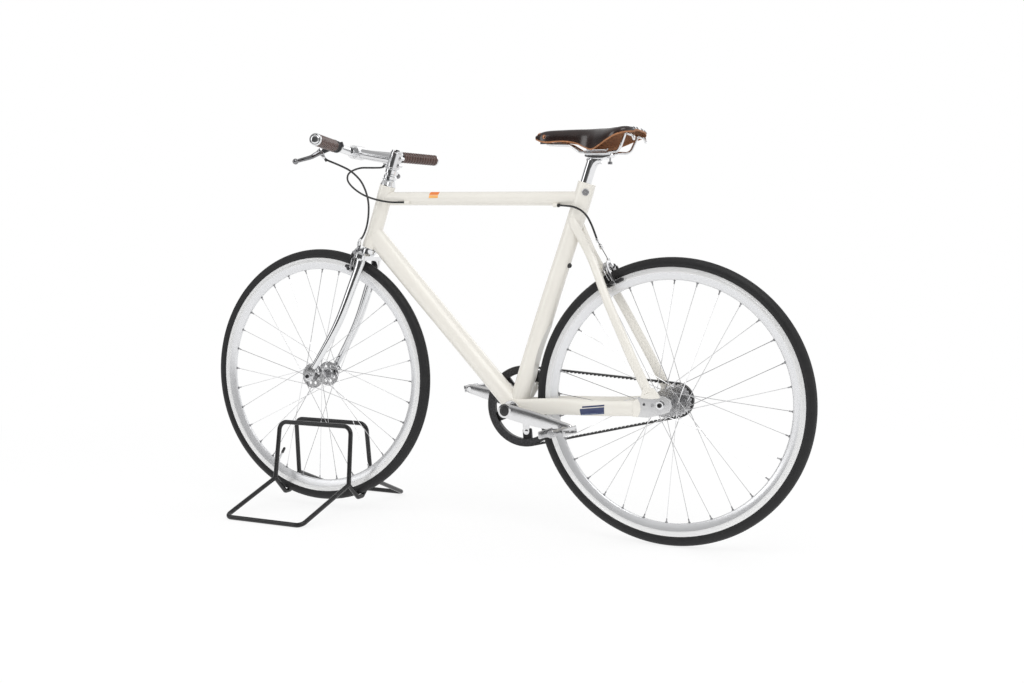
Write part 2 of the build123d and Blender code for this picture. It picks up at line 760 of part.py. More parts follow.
def saddle_section(x, half, top, edge, thick):
    """Cross-section of the leather: an arch with its edges hanging down."""
    plane = Plane(origin=(x, 0, 0), x_dir=(0, 1, 0), z_dir=(1, 0, 0))
    rise = top - edge
    outer = Spline((-half, edge), (-half * 0.86, edge + rise * 0.70), (0, top),
                   (half * 0.86, edge + rise * 0.70), (half, edge))
    inner = Spline((half - thick, edge), (half * 0.86 - thick * 0.9, edge + rise * 0.70 - thick * 0.7),
                   (0, top - thick), (-half * 0.86 + thick * 0.9, edge + rise * 0.70 - thick * 0.7),
                   (-half + thick, edge))
    left = Line((half, edge), (half - thick, edge))
    right = Line((-half + thick, edge), (-half, edge))
    return plane * make_face([outer, left, inner, right])


# Stations of the leather: x, half width, top, bottom edge.
saddle_stations = [(95, 42, 633, 624), (101, 59, 638, 622), (114, 72, 641, 619), (134, 74, 640, 613),
                   (158, 66, 639, 602), (182, 52, 639, 591), (204, 38, 638.5, 585), (226, 29, 638, 592),
                   (250, 25, 638, 602), (285, 21.5, 637.5, 607), (325, 18.5, 636.5, 606), (346, 14.5, 633, 609),
                   (362, 6.5, 625, 615)]


def saddle_top():
    faces = []
    for x, half, top, edge in saddle_stations:
        thick = min(saddle_thick, half * 0.5, (top - edge) * 0.45)
        faces.append(saddle_section(x, half, top, edge, thick))
    return loft(faces)


leather = saddle_top()
cantle = Box(3, 124, 16).moved(Location((112, 0, 626))) - leather
cantle = cantle.solids().sort_by(lambda s: abs(s.center().Z - 624))[0]
nose = Box(26, 24, 12).moved(Location((333, 0, 610))) - leather
nose = nose.solids().sort_by(lambda s: s.volume)[-1]
rail = bent_tube(rail_path, rail_radius, rail_bends) - cantle - nose - leather
rail = rail.solids().sort_by(lambda s: s.volume)[-1]
clamp = seat_clamp() - rail - mirrored(rail)
save("seat_post", park(seat_post))
save("seat_clamp", park(clamp))
save("saddle_top", park(leather))
save("saddle_plates", park(cantle), park(nose))
save("saddle_rails", park(rail), park(mirrored(rail)))


# ---------------------------------------------------------------- belt drive
def belt():
    """One closed band round both sprockets, its back outwards."""
    def loop(offset):
        big = front_pitch_radius + offset
        small = rear_pitch_radius + offset
        span = math.hypot(bb_x, bb_z)
        lean = math.asin((big - small) / span)
        base = math.atan2(bb_z, bb_x)
        high = base + math.pi / 2 + lean
        low = base - math.pi / 2 - lean

        def rear_at(angle):
            return v(small * math.cos(angle), belt_y, small * math.sin(angle))

        def front_at(angle):
            return v(bb_x + big * math.cos(angle), belt_y, bb_z + big * math.sin(angle))
        edges = [Line(rear_at(high), front_at(high)),
                 ThreePointArc(front_at(high), front_at(base), front_at(low)),
                 Line(front_at(low), rear_at(low)),
                 ThreePointArc(rear_at(low), rear_at(base + math.pi), rear_at(high))]
        return make_face(edges)
    outer = extrude(loop(belt_back), amount=belt_width / 2, both=True)
    inner = extrude(loop(-belt_land), amount=belt_width, both=True)
    return outer - inner


save("belt", park(belt()))


def sprocket(teeth, pitch_radius, x, z, width, phase=0.0):
    tip = pitch_radius - belt_land - tooth_gap
    body = disc(tip, belt_y - width / 2, belt_y + width / 2, x, z)
    grooves = []
    for k in range(teeth):
        angle = 2 * math.pi * (k + phase) / teeth
        reach = tip
        grooves.append(disc(tooth_depth * 0.9, belt_y - width, belt_y + width,
                            x + reach * math.cos(angle), z + reach * math.sin(angle)))
    return body - grooves


def front_sprocket():
    """Toothed ring with five tabs on its outer half that reach in to the spider."""
    body = sprocket(front_teeth, front_pitch_radius, bb_x, bb_z, belt_width)
    body -= disc(sprocket_inner, belt_y - belt_width, belt_y + belt_width, bb_x, bb_z)
    long = sprocket_inner + 2 - tab_reach
    for k in range(5):
        turn = Location((bb_x, belt_y, bb_z), (0, -tab_angle - 72 * k, 0))
        tab = Box(long, belt_width / 2, 2 * tab_half)
        tab = fillet(tab.edges().filter_by(Axis.Y).group_by(Axis.X)[0], 5)
        body += turn * Pos(tab_reach + long / 2, -belt_width / 4, 0) * tab
    return body


save("front_sprocket", park(front_sprocket()))


def rear_sprocket():
    body = sprocket(rear_teeth, rear_pitch_radius, 0, 0, belt_width)
    for k in range(6):
        angle = math.radians(60 * k)
        body -= disc(5.5, belt_y - 20, belt_y + 20, 24 * math.cos(angle), 24 * math.sin(angle))
    return body - disc(axle_radius + run_gap, belt_y - 20, belt_y + 20)


save("rear_sprocket", park(rear_sprocket()))


# ---------------------------------------------------------------- cranks and pedals
crank_rad = math.radians(180 - crank_angle)
crank_dir = v(math.cos(crank_rad), 0, math.sin(crank_rad))
arm_outer_y = arm_inner_y + arm_thick


def crank_arm():
    """Left arm: broadest a third of the way along, narrow at the pedal."""
    side = v(-crank_dir.Z, 0, crank_dir.X)
    broad = bb + crank_dir * arm_broad_at
    tip = bb + crank_dir * crank_length
    corners = [bb + side * arm_boss, broad + side * arm_broad, tip + side * arm_tip,
               tip - side * arm_tip, broad - side * arm_broad, bb - side * arm_boss]
    body = plate([(c.X, c.Z) for c in corners], arm_inner_y, arm_outer_y)
    body += disc(arm_boss, arm_inner_y - 2, arm_outer_y, bb_x, bb_z)
    body += disc(arm_tip, arm_inner_y, arm_outer_y, tip.X, tip.Z)
    body -= disc(spindle_radius, arm_inner_y - 10, arm_outer_y + 10, bb_x, bb_z)
    return body - disc(pedal_axle_radius, arm_inner_y - 10, arm_outer_y + 10, tip.X, tip.Z)


def turned_half(shape):
    """The right crank points the other way: half a turn about the spindle, then mirrored across."""
    half = shape.moved(Location((-bb_x, 0, -bb_z))).moved(Location((0, 0, 0), (0, 180, 0)))
    return mirrored(half.moved(Location((bb_x, 0, bb_z))))


arm = crank_arm()
save("crank_arm_left", park(arm))
arm_right = turned_half(arm)
save("crank_arm_right", park(arm_right))
spindle = disc(spindle_radius, -arm_outer_y, arm_outer_y, bb_x, bb_z)
save("crank_spindle", park(spindle))


def sprocket_spider():
    """Five arms from the right crank's boss, bolted to the frame side of the sprocket's tabs."""
    body = disc(spider_hub, -arm_inner_y + 2, belt_y + spider_face, bb_x, bb_z)
    for k in range(5):
        turn = Location((bb_x, belt_y, bb_z), (0, -tab_angle - 72 * k, 0))
        bar = Box(spider_bolt, spider_face, 2 * spider_half)
        body += turn * Pos(spider_bolt / 2, spider_face / 2, 0) * bar
        angle = math.radians(tab_angle + 72 * k)
        body += disc(spider_half, belt_y, belt_y + spider_face,
                     bb_x + spider_bolt * math.cos(angle), bb_z + spider_bolt * math.sin(angle))
    return body - disc(spindle_radius, -100, 100, bb_x, bb_z)


save("sprocket_spider", park(sprocket_spider()))


def pedal():
    """Left pedal: middle block on its spindle and an open cage round it."""
    tip = bb + crank_dir * crank_length
    y0 = arm_outer_y + pedal_inner_y
    y1 = y0 + pedal_width
    block = Box(pedal_length, pedal_width, pedal_height)
    opening = pedal_length / 2 - pedal_barrel - pedal_wall
    window = Box(opening, pedal_width - 2 * pedal_end, pedal_height + 2)
    for side in (1, -1):
        block -= Pos(side * (pedal_barrel + opening / 2), 0, 0) * window
    block = fillet(block.edges().filter_by(Axis.Z).group_by(Axis.Y)[-1], 3)
    block = block.moved(Location((tip.X, (y0 + y1) / 2, tip.Z), (0, pedal_tilt, 0)))
    return block - disc(pedal_axle_radius + run_gap, y0 - 5, y1 - 6, tip.X, tip.Z)


def pedal_axle():
    tip = bb + crank_dir * crank_length
    y0 = arm_outer_y + pedal_inner_y
    return disc(pedal_axle_radius, arm_inner_y, y0 + pedal_width - 7, tip.X, tip.Z)


left_pedal = pedal()
left_pedal_axle = pedal_axle()
save("pedal_left", park(left_pedal))
save("pedal_right", park(turned_half(left_pedal)))
save("pedal_axles", park(left_pedal_axle), park(turned_half(left_pedal_axle)))

# ---------------------------------------------------------------- brake cables
# Fork side routes are in the steerer frame, the rear one in the bicycle's.
front_cable_route = [v(119, 154, 582), v(106, 146, 570), v(80, 128, 567), v(54, 104, 561), v(31, 80, 543),
                     v(17, 62, 516), v(10, 48, 488), v(6, 40, 456), v(6, 35, 428), v(10, 32, 405),
                     v(18, 30, 388)]
rear_cable_route = [v(119, -154, 582), v(112, -130, 572), v(115, -100, 567), v(127, -83, 562), v(140, -68, 556),
                    v(150, -50, 544), v(151, -36, 531), v(135, -20, 517), v(98, 0, 507), v(50, 18, 502),
                    v(2, 27, 504), v(-36, 27, 510), v(-62, 21, 518), v(-80, 14, 524)]
rear_cable_tail = [v(302, 12, 457), v(275, 21, 456), v(248, 27, 453), v(227, 29, 445), v(211, 28, 430),
                   v(200, 27, 410), v(192, 26, 391), v(185, 25, 373)]


def cable(route):
    return bent_tube(route, cable_radius, largest_bends(route))


def cable_port(inside, outside):
    """Short boss on the top tube where a cable goes in."""
    away = (outside - inside).normalized()
    return rod(inside - away * port_length / 2, inside + away * port_length, port_radius)


entry = cable_port(steer_point(-80, 14, 524), steer_point(-62, 21, 518))
leaving = cable_port(rear_cable_tail[0], rear_cable_tail[1])
save("top_tube", park(top_made + entry + leaving))

front_cable = cable(front_cable_route) - lever - front_caliper
save("front_brake_cable", on_fork(front_cable))
right_pivot = v(lever_pivot.X, -lever_pivot.Y, lever_pivot.Z)
rear_cable = cable(rear_cable_route) - Pos(*right_pivot) * Sphere(lever_boss + face_gap)
save("rear_brake_cable_front", on_fork(rear_cable) - park(top_whole) - park(entry))
tail = cable(rear_cable_tail) - top_whole - leaving - seatstay_left - seat_whole
tail = tail.solids().sort_by(lambda s: s.volume)[-1]
anchor = rear_caliper_frame.location * Pos(*rear_seat)
inner_cable = rod(rear_cable_tail[-1], anchor.position, inner_cable_radius) - rear_caliper
save("rear_brake_cable_rear", park(tail), park(inner_cable))


# ---------------------------------------------------------------- display stand
def on_floor(shape):
    """The stand is drawn about its own middle on the floor."""
    return shape.moved(Location((half_base - stand_back, 0, 0)))


axle_height = tyre_radius + stand_lift


def tyre_underside(x):
    """Height of the tyre's lowest line at a distance from the stand's middle."""
    return axle_height - math.sqrt(tyre_radius ** 2 - (x - stand_back) ** 2)


def stand_hoop(side):
    y = side * stand_hoop_y
    foot_y = side * stand_join_y
    points = [(-stand_join_half, foot_y, stand_join_z), (-stand_hoop_half, y, stand_hoop_top),
              (stand_hoop_half, y, stand_hoop_top), (stand_join_half, foot_y, stand_join_z)]
    return bent_tube(points, stand_tube, 22.0)


def stand_cradle(x):
    """Cross bar that dips under the tyre between the two hoops."""
    dip = 10.0
    low = tyre_underside(x) - cradle_gap - stand_tube - 0.8
    points = [(x, -stand_join_y, stand_join_z), (x, -dip, low), (x, dip, low),
              (x, stand_join_y, stand_join_z)]
    return bent_tube(points, stand_tube, 8.0)


def stand_foot(side):
    """Two sloping legs and the floor bar between them, one bent tube."""
    near = side * stand_join_y
    far = side * stand_foot_y
    back = stand_foot_ahead - stand_join_half
    front = stand_foot_ahead + stand_join_half
    points = [(-stand_join_half, near, stand_join_z), (back, far, stand_tube), (front, far, stand_tube),
              (stand_join_half, near, stand_join_z)]
    return bent_tube(points, stand_tube, 18.0)


hoops = [stand_hoop(1), stand_hoop(-1)]
cradles = [stand_cradle(-stand_join_half), stand_cradle(stand_join_half)]
feet = [stand_foot(1), stand_foot(-1)]
hoops = [h - cradles[0] - cradles[1] - feet[0] - feet[1] for h in hoops]
feet = [f - cradles[0] - cradles[1] for f in feet]
save("stand_hoops", *[on_floor(h) for h in hoops])
save("stand_cradles", *[on_floor(c) for c in cradles])
save("stand_feet", *[on_floor(f) for f in feet])
print(len(written), "nodes")
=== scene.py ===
import bpy
import bmesh
import math
from mathutils import Matrix, Vector
from mathutils.bvhtree import BVHTree


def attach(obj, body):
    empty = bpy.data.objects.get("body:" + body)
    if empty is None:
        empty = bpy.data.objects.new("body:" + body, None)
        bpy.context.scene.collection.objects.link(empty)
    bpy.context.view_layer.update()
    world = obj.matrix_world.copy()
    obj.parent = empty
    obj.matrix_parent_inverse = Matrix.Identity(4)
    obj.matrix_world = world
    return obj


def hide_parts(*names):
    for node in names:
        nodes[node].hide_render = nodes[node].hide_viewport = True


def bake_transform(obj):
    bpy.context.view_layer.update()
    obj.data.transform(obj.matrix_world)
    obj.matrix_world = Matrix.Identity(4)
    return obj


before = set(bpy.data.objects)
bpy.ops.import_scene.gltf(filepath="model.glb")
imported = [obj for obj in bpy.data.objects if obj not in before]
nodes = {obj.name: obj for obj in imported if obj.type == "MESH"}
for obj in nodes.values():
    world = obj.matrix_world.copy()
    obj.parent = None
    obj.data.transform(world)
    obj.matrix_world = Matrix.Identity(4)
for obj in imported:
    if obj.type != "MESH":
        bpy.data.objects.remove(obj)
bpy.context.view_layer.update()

print("frame loaded")

# Pieces are drawn in millimetres in the space they belong to, then set down in metres.
bike = {"wheelbase": 986.9, "standLift": 21.5, "tyreRadius": 339.0, "headAngle": 72.6, "rake": 41.7,
        "bbX": 396.1, "bbZ": -44.6, "crankAngle": 190.2, "crankLength": 170.0, "beltY": -47.5}
origin, alongX, alongY, alongZ = (0, 0, 0), (1, 0, 0), (0, 1, 0), (0, 0, 1)
metres = Matrix.Scale(0.001, 4)
lean = math.asin(bike["standLift"] / bike["wheelbase"])
halfBase = bike["wheelbase"] * math.cos(lean) / 2
bikeSpace = (Matrix.Translation((-halfBase / 1000, 0, bike["tyreRadius"] / 1000))
             @ Matrix.Rotation(-lean, 4, "Y") @ metres)
frontSpace = bikeSpace @ Matrix.Translation((bike["wheelbase"], 0, 0))
crankSpace = bikeSpace @ Matrix.Translation((bike["bbX"], 0, bike["bbZ"]))
headTurn = math.radians(bike["headAngle"])
steerAhead = Vector((math.sin(headTurn), 0, math.cos(headTurn)))
steerUp = Vector((-math.cos(headTurn), 0, math.sin(headTurn)))
steerFoot = Vector((bike["wheelbase"], 0, 0)) - steerAhead * bike["rake"]


def axesMatrix(start, x, y, z):
    made = Matrix((x, y, z)).transposed().to_4x4()
    made.translation = start
    return made


forkSpace = bikeSpace @ axesMatrix(steerFoot, steerAhead, Vector(alongY), steerUp)
flip = Matrix.Diagonal((1, -1, 1, 1))
identity = Matrix.Identity(4)
swapXY = Matrix(((0, 1, 0, 0), (1, 0, 0, 0), (0, 0, 1, 0), (0, 0, 0, 1)))


def around(radius, turn, y=0):
    # point at a radius and a turn about the Y axis
    return Vector((radius * math.cos(turn), y, radius * math.sin(turn)))


def ring(radius, count):
    # outline of (x, z)
    return [tuple(around(radius, 2 * math.pi * k / count).xz) for k in range(count)]


def mirrored(points, side):
    return [(x, side * y, z) for x, y, z in points]


def gridFaces(rows, count, closed=False):
    # quads between rows of count points, each row a loop; closed joins the last row to the first
    faces = []
    for i in range(rows if closed else rows - 1):
        n = (i + 1) % rows
        for k in range(count):
            m = (k + 1) % count
            faces.append([i * count + k, i * count + m, n * count + m, n * count + k])
    return faces


# The next makers each give (points, faces).
def lathe(profile, sides=32, closed=False):
    # profile of (radius, distance along +Y)
    points, faces, rings = [], [], []
    for radius, along in profile:
        if radius < 1e-6:
            rings.append([len(points)] * sides)
            points.append(Vector((0, along, 0)))
            continue
        rings.append(list(range(len(points), len(points) + sides)))
        points += [around(radius, 2 * math.pi * k / sides, along) for k in range(sides)]
    pairs = list(zip(rings, rings[1:]))
    if closed:
        pairs.append((rings[-1], rings[0]))
    for a, b in pairs:
        for k in range(sides):
            n = (k + 1) % sides
            face = [a[k], a[n], b[n], b[k]]
            face = [p for i, p in enumerate(face) if p not in face[:i]]
            if len(face) > 2:
                faces.append(face)
    return points, faces


def curvePoints(points, steps=6):
    # smooth line through the points
    pts = [Vector(p) for p in points]
    pts = [2 * pts[0] - pts[1]] + pts + [2 * pts[-1] - pts[-2]]
    out = []
    for i in range(1, len(pts) - 2):
        a, b, c, d = pts[i - 1:i + 3]
        for s in range(steps):
            t = s / steps
            out.append(0.5 * (2 * b + (c - a) * t + (2 * a - 5 * b + 4 * c - d) * t * t
                              + (3 * b - a - 3 * c + d) * t ** 3))
    return out + [pts[-2]]


def spread(values, count):
    # one number, or a short list stretched evenly, over count places
    if not isinstance(values, (list, tuple)):
        return [values] * count
    out = []
    for k in range(count):
        t = k * (len(values) - 1) / max(count - 1, 1)
        i = min(int(t), len(values) - 2)
        out.append(values[i] + (values[i + 1] - values[i]) * (t - i))
    return out


def sweep(points, wide, deep=None, sides=14, across=None, squareness=0.0):
    # bar along the points; wide and deep are half sizes, one number or a list
    pts = [Vector(p) for p in points]
    count = len(pts)
    wide = spread(wide, count)
    deep = wide if deep is None else spread(deep, count)
    verts, side = [], None
    for i, p in enumerate(pts):
        along = (pts[min(i + 1, count - 1)] - pts[max(i - 1, 0)]).normalized()
        if across is not None:
            side = Vector(across).cross(along)
        elif side is None:
            side = along.orthogonal()
        else:
            side = side - along * side.dot(along)
        side = side.normalized()
        top = along.cross(side)
        for k in range(sides):
            turn = 2 * math.pi * k / sides
            c, s = math.cos(turn), math.sin(turn)
            if squareness:
                c = math.copysign(abs(c) ** squareness, c)
                s = math.copysign(abs(s) ** squareness, s)
            verts.append(p + side * wide[i] * c + top * deep[i] * s)
    faces = gridFaces(count, sides)
    for start, tip, order in ((0, pts[0], 1), ((count - 1) * sides, pts[-1], -1)):
        centre = len(verts)
        verts.append(tip)
        for k in range(sides):
            faces.append([start + k, start + (k + 1) % sides, centre][::order])
    return verts, faces


def plate(outline, low, high, bevel=0.0, segments=2):
    # outline of (x, z), thick from low to high along Y
    bm = bmesh.new()
    face = bm.faces.new([bm.verts.new((x, low, z)) for x, z in outline])
    made = bmesh.ops.extrude_face_region(bm, geom=[face])
    top = [v for v in made["geom"] if isinstance(v, bmesh.types.BMVert)]
    bmesh.ops.translate(bm, verts=top, vec=(0, high - low, 0))
    bm.normal_update()
    bmesh.ops.recalc_face_normals(bm, faces=bm.faces)
    if bevel:
        rims = [e for e in bm.edges if abs(e.verts[0].co.y - e.verts[1].co.y) < 1e-6]
        bmesh.ops.bevel(bm, geom=rims, offset=bevel, segments=segments, profile=0.6, affect="EDGES")
    bm.verts.index_update()
    out = ([v.co.copy() for v in bm.verts], [[v.index for v in f.verts] for f in bm.faces])
    bm.free()
    return out


def toward(place, direction):
    # matrix that stands +Y along a direction at a point
    turn = Vector(direction).normalized().to_track_quat("Y", "Z").to_matrix().to_4x4()
    turn.translation = Vector(place)
    return turn


# shares of a bolt's radius or height
boltShape = {"hexBevel": 0.12, "socket": 0.5, "socketFoot": 0.96, "top": 0.86, "shoulder": 0.8, "deep": 0.35,
             "floor": 0.3}


def hexBolt(radius, height):
    return plate(ring(radius, 6), 0, height, bevel=radius * boltShape["hexBevel"])


def socketBolt(radius, height, sides=20):
    socket = radius * boltShape["socket"]
    return lathe([(0, 0), (radius, 0), (radius, height * boltShape["shoulder"]), (radius * boltShape["top"], height),
                  (socket, height), (socket * boltShape["socketFoot"], height * boltShape["deep"]),
                  (0, height * boltShape["floor"])], sides)


def washer(inner, outer, low, high, sides=32):
    edge = (high - low) * 0.25
    return lathe([(inner, low), (outer - edge, low), (outer, low + edge), (outer, high - edge),
                  (outer - edge, high), (inner, high)], sides, closed=True)


# The next three each give a part of a piece, its +Y along a direction.
def turned(profile, sides, look, place, direction=alongY, closed=False):
    return lathe(profile, sides, closed), look, toward(place, direction)


def bolted(radius, height, look, place, direction, sides=20):
    return socketBolt(radius, height, sides), look, toward(place, direction)


def nut(radius, height, look, place, direction):
    return hexBolt(radius, height), look, toward(place, direction)


def buildPiece(name, space, parts, body, replaced=(), sharp=38):
    # a part is (mesh, look, matrices in the piece's space); body is one body to attach it to, anything else such as
    # (body, body, start, end) leaves it baked in place on no body
    verts, faces, slots, used = [], [], [], []
    for data, look, *turns in parts:
        base, stand = len(verts), space
        for turn in turns:
            stand = stand @ turn
        verts += [stand @ Vector(p) for p in data[0]]
        if look not in used:
            used.append(look)
        faces += [[base + i for i in f] for f in data[1]]
        slots += [used.index(look)] * len(data[1])
    mesh = bpy.data.meshes.new(name)
    mesh.from_pydata(verts, [], faces)
    mesh.polygons.foreach_set("material_index", slots)
    for look in used:
        mesh.materials.append(looks[look])
    bm = bmesh.new()
    bm.from_mesh(mesh)
    bmesh.ops.recalc_face_normals(bm, faces=bm.faces)
    limit = math.radians(sharp)
    for face in bm.faces:
        face.smooth = True
    for edge in bm.edges:
        edge.smooth = len(edge.link_faces) == 2 and edge.calc_face_angle(0) < limit
    bm.to_mesh(mesh)
    bm.free()
    made = bpy.data.objects.new(name, mesh)
    bpy.context.scene.collection.objects.link(made)
    if isinstance(body, str):
        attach(made, body)
    else:
        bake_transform(made)
    if replaced:
        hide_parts(*replaced)


def feed(tree, value, socket):
    # numbers and colours are set on the socket, outputs are linked to it
    if isinstance(value, (int, float)):
        socket.default_value = value
    elif isinstance(value, tuple):
        socket.default_value = (*value, 1)
    else:
        tree.links.new(value, socket)


def mathNode(tree, operation, *values):
    node = tree.nodes.new("ShaderNodeMath")
    node.operation = operation
    for value, socket in zip(values, node.inputs):
        feed(tree, value, socket)
    return node.outputs[0]


def noiseNode(tree, vector, scale, detail, rough=0.5):
    node = tree.nodes.new("ShaderNodeTexNoise")
    for label, value in (("Vector", vector), ("Scale", scale), ("Detail", detail), ("Roughness", rough)):
        feed(tree, value, node.inputs[label])
    return node.outputs["Fac"]


def rangeNode(tree, value, fromSpan, toSpan=(0.0, 1.0)):
    node = tree.nodes.new("ShaderNodeMapRange")
    for label, setting in zip(("Value", "From Min", "From Max", "To Min", "To Max"), (value, *fromSpan, *toSpan)):
        feed(tree, setting, node.inputs[label])
    return node.outputs["Result"]


def splitNode(tree, vector):
    node = tree.nodes.new("ShaderNodeSeparateXYZ")
    feed(tree, vector, node.inputs[0])
    return node.outputs


def mixColour(tree, mask, a, b):
    node = tree.nodes.new("ShaderNodeMix")
    node.data_type = "RGBA"
    feed(tree, mask, node.inputs["Factor"])
    for value, socket in zip((a, b), [s for s in node.inputs if s.type == "RGBA"]):
        feed(tree, value, socket)
    return [s for s in node.outputs if s.type == "RGBA"][0]


def objectPlace(tree):
    return tree.nodes.new("ShaderNodeTexCoord").outputs["Object"]


# what each shared effect is made of: spans are noise values, shares add up to one
effects = {
    "grain": {"detail": (3.0, 2.0), "fineTimes": 14.0, "broadShare": 0.7, "fineShare": 0.3, "span": (0.32, 0.68)},
    "wear": {"edge": (0.505, 0.56), "scale": 240.0, "detail": 4.0, "breakUp": (0.4, 0.6), "strength": (0.2, 1.0)},
    "dust": {"facing": (-0.4, 1.0), "upShare": (0.15, 1.0), "detail": 5.0, "rough": 0.6, "patch": (0.35, 0.7),
             "strength": (0.1, 1.0)},
    "hide": {"pore": (0.0, 0.6), "poreShare": 0.35, "creaseDetail": 6.0, "creaseRough": 0.65, "creaseShare": 0.65,
             "mottleScale": 22.0, "mottleDetail": 4.0, "mottleRough": 0.6},
}


def newGroup(name, inputs, outputs):
    group = bpy.data.node_groups.new(name, "ShaderNodeTree")
    for label, value in inputs.items():
        socket = group.interface.new_socket(name=label, in_out="INPUT", socket_type="NodeSocketFloat")
        socket.default_value = value
    for label in outputs:
        group.interface.new_socket(name=label, in_out="OUTPUT", socket_type="NodeSocketFloat")
    return group, group.nodes.new("NodeGroupInput").outputs, group.nodes.new("NodeGroupOutput").inputs


def buildGrainGroup():
    # uneven polish: a broad cloud and a fine speck
    group, enter, leave = newGroup("unevenPolish", {"Scale": 60.0, "Low": 0.1, "High": 0.3},
                                   ["Roughness", "Height", "Cloud"])
    made = effects["grain"]
    place = objectPlace(group)
    broad = noiseNode(group, place, enter["Scale"], made["detail"][0])
    fineScale = mathNode(group, "MULTIPLY", enter["Scale"], made["fineTimes"])
    fine = noiseNode(group, place, fineScale, made["detail"][1])
    mixed = mathNode(group, "ADD", mathNode(group, "MULTIPLY", broad, made["broadShare"]),
                     mathNode(group, "MULTIPLY", fine, made["fineShare"]))
    feed(group, rangeNode(group, mixed, made["span"], (enter["Low"], enter["High"])), leave["Roughness"])
    feed(group, fine, leave["Height"])
    feed(group, broad, leave["Cloud"])
    return group


def buildWearGroup():
    # bright or bare along convex edges
    group, enter, leave = newGroup("edgeWear", {"Amount": 0.5}, ["Mask"])
    made = effects["wear"]
    edge = rangeNode(group, group.nodes.new("ShaderNodeNewGeometry").outputs["Pointiness"], made["edge"])
    breakUp = noiseNode(group, objectPlace(group), made["scale"], made["detail"])
    worn = mathNode(group, "MULTIPLY", edge, rangeNode(group, breakUp, made["breakUp"], made["strength"]))
    feed(group, mathNode(group, "MULTIPLY", worn, enter["Amount"]), leave["Mask"])
    return group


def buildDustGroup():
    # thin dust on what faces up, thicker in patches
    group, enter, leave = newGroup("dust", {"Amount": 0.2, "Scale": 35.0}, ["Mask"])
    made = effects["dust"]
    facing = splitNode(group, group.nodes.new("ShaderNodeNewGeometry").outputs["Normal"])["Z"]
    up = rangeNode(group, facing, made["facing"], made["upShare"])
    cloud = noiseNode(group, objectPlace(group), enter["Scale"], made["detail"], made["rough"])
    patch = rangeNode(group, cloud, made["patch"], made["strength"])
    feed(group, mathNode(group, "MULTIPLY", mathNode(group, "MULTIPLY", up, patch), enter["Amount"]), leave["Mask"])
    return group


def buildRingGroup():
    # lathe lines round a wheel axle at (Centre X, Centre Z)
    group, enter, leave = newGroup("turnedRings", {"Centre X": 0.0, "Centre Z": 0.0, "Lines": 2500.0},
                                   ["Radius", "Line"])
    place = splitNode(group, objectPlace(group))
    squares = []
    for axis in "XZ":
        off = mathNode(group, "SUBTRACT", place[axis], enter["Centre " + axis])
        squares.append(mathNode(group, "MULTIPLY", off, off))
    reach = mathNode(group, "SQRT", mathNode(group, "ADD", *squares))
    join = group.nodes.new("ShaderNodeCombineXYZ")
    feed(group, mathNode(group, "MULTIPLY", reach, enter["Lines"]), join.inputs["X"])
    feed(group, reach, leave["Radius"])
    feed(group, noiseNode(group, join.outputs[0], 1.0, 1.0), leave["Line"])
    return group


def buildHideGroup():
    # leather: pores, creases and a soft mottle
    group, enter, leave = newGroup("leatherHide", {"Scale": 900.0, "Crease": 60.0}, ["Height", "Mottle"])
    made = effects["hide"]
    place = objectPlace(group)
    cells = group.nodes.new("ShaderNodeTexVoronoi")
    feed(group, place, cells.inputs["Vector"])
    feed(group, enter["Scale"], cells.inputs["Scale"])
    pore = rangeNode(group, cells.outputs["Distance"], made["pore"])
    crease = noiseNode(group, place, enter["Crease"], made["creaseDetail"], made["creaseRough"])
    height = mathNode(group, "ADD", mathNode(group, "MULTIPLY", pore, made["poreShare"]),
                      mathNode(group, "MULTIPLY", crease, made["creaseShare"]))
    feed(group, height, leave["Height"])
    feed(group, noiseNode(group, place, made["mottleScale"], made["mottleDetail"], made["mottleRough"]),
         leave["Mottle"])
    return group


groups = {"grain": buildGrainGroup(), "wear": buildWearGroup(), "dust": buildDustGroup(),
          "rings": buildRingGroup(), "hide": buildHideGroup()}
print("shader groups built")


def useGroup(tree, key, **values):
    node = tree.nodes.new("ShaderNodeGroup")
    node.node_tree = groups[key]
    for label, value in values.items():
        node.inputs[label.replace("_", " ")].default_value = value
    return node.outputs


def addBump(tree, shader, height, strength, distance):
    node = tree.nodes.new("ShaderNodeBump")
    for label, value in (("Strength", strength), ("Distance", distance), ("Height", height)):
        feed(tree, value, node.inputs[label])
    feed(tree, node.outputs["Normal"], shader.inputs["Normal"])


def newLook(name, settings):
    made = bpy.data.materials.new(name)
    made.use_nodes = True
    shader = made.node_tree.nodes["Principled BSDF"]
    for label, value in settings.items():
        shader.inputs[label].default_value = value
    return made, made.node_tree, shader


dustTone = (0.45, 0.43, 0.40)


def plainLook(name, tone, shade, metal, rough, scale, coat=0.0, bump=0.0, wear=0.0, worn=None, dust=0.0,
              coatRough=0.04, specular=0.5):
    # tone and shade are the two colours that the surface wanders between
    made, tree, shader = newLook(name, {"Metallic": metal, "Coat Weight": coat, "Coat Roughness": coatRough,
                                       "IOR": 1.5, "Specular IOR Level": specular})
    grain = useGroup(tree, "grain", Scale=scale, Low=rough[0], High=rough[1])
    feed(tree, grain["Roughness"], shader.inputs["Roughness"])
    colour = mixColour(tree, rangeNode(tree, grain["Cloud"], (0.3, 0.7)), tone, shade)
    if wear:
        colour = mixColour(tree, useGroup(tree, "wear", Amount=wear)["Mask"], colour, worn)
    if dust:
        colour = mixColour(tree, useGroup(tree, "dust", Amount=dust)["Mask"], colour, dustTone)
    feed(tree, colour, shader.inputs["Base Color"])
    if bump:
        addBump(tree, shader, grain["Height"], bump, 0.0002)
    return made


def grey(value, bluer=0.0):
    return value, value, value + bluer


patchFilm = (0.0, (0.3, 0.4), 60.0, {"coat": 0.5})
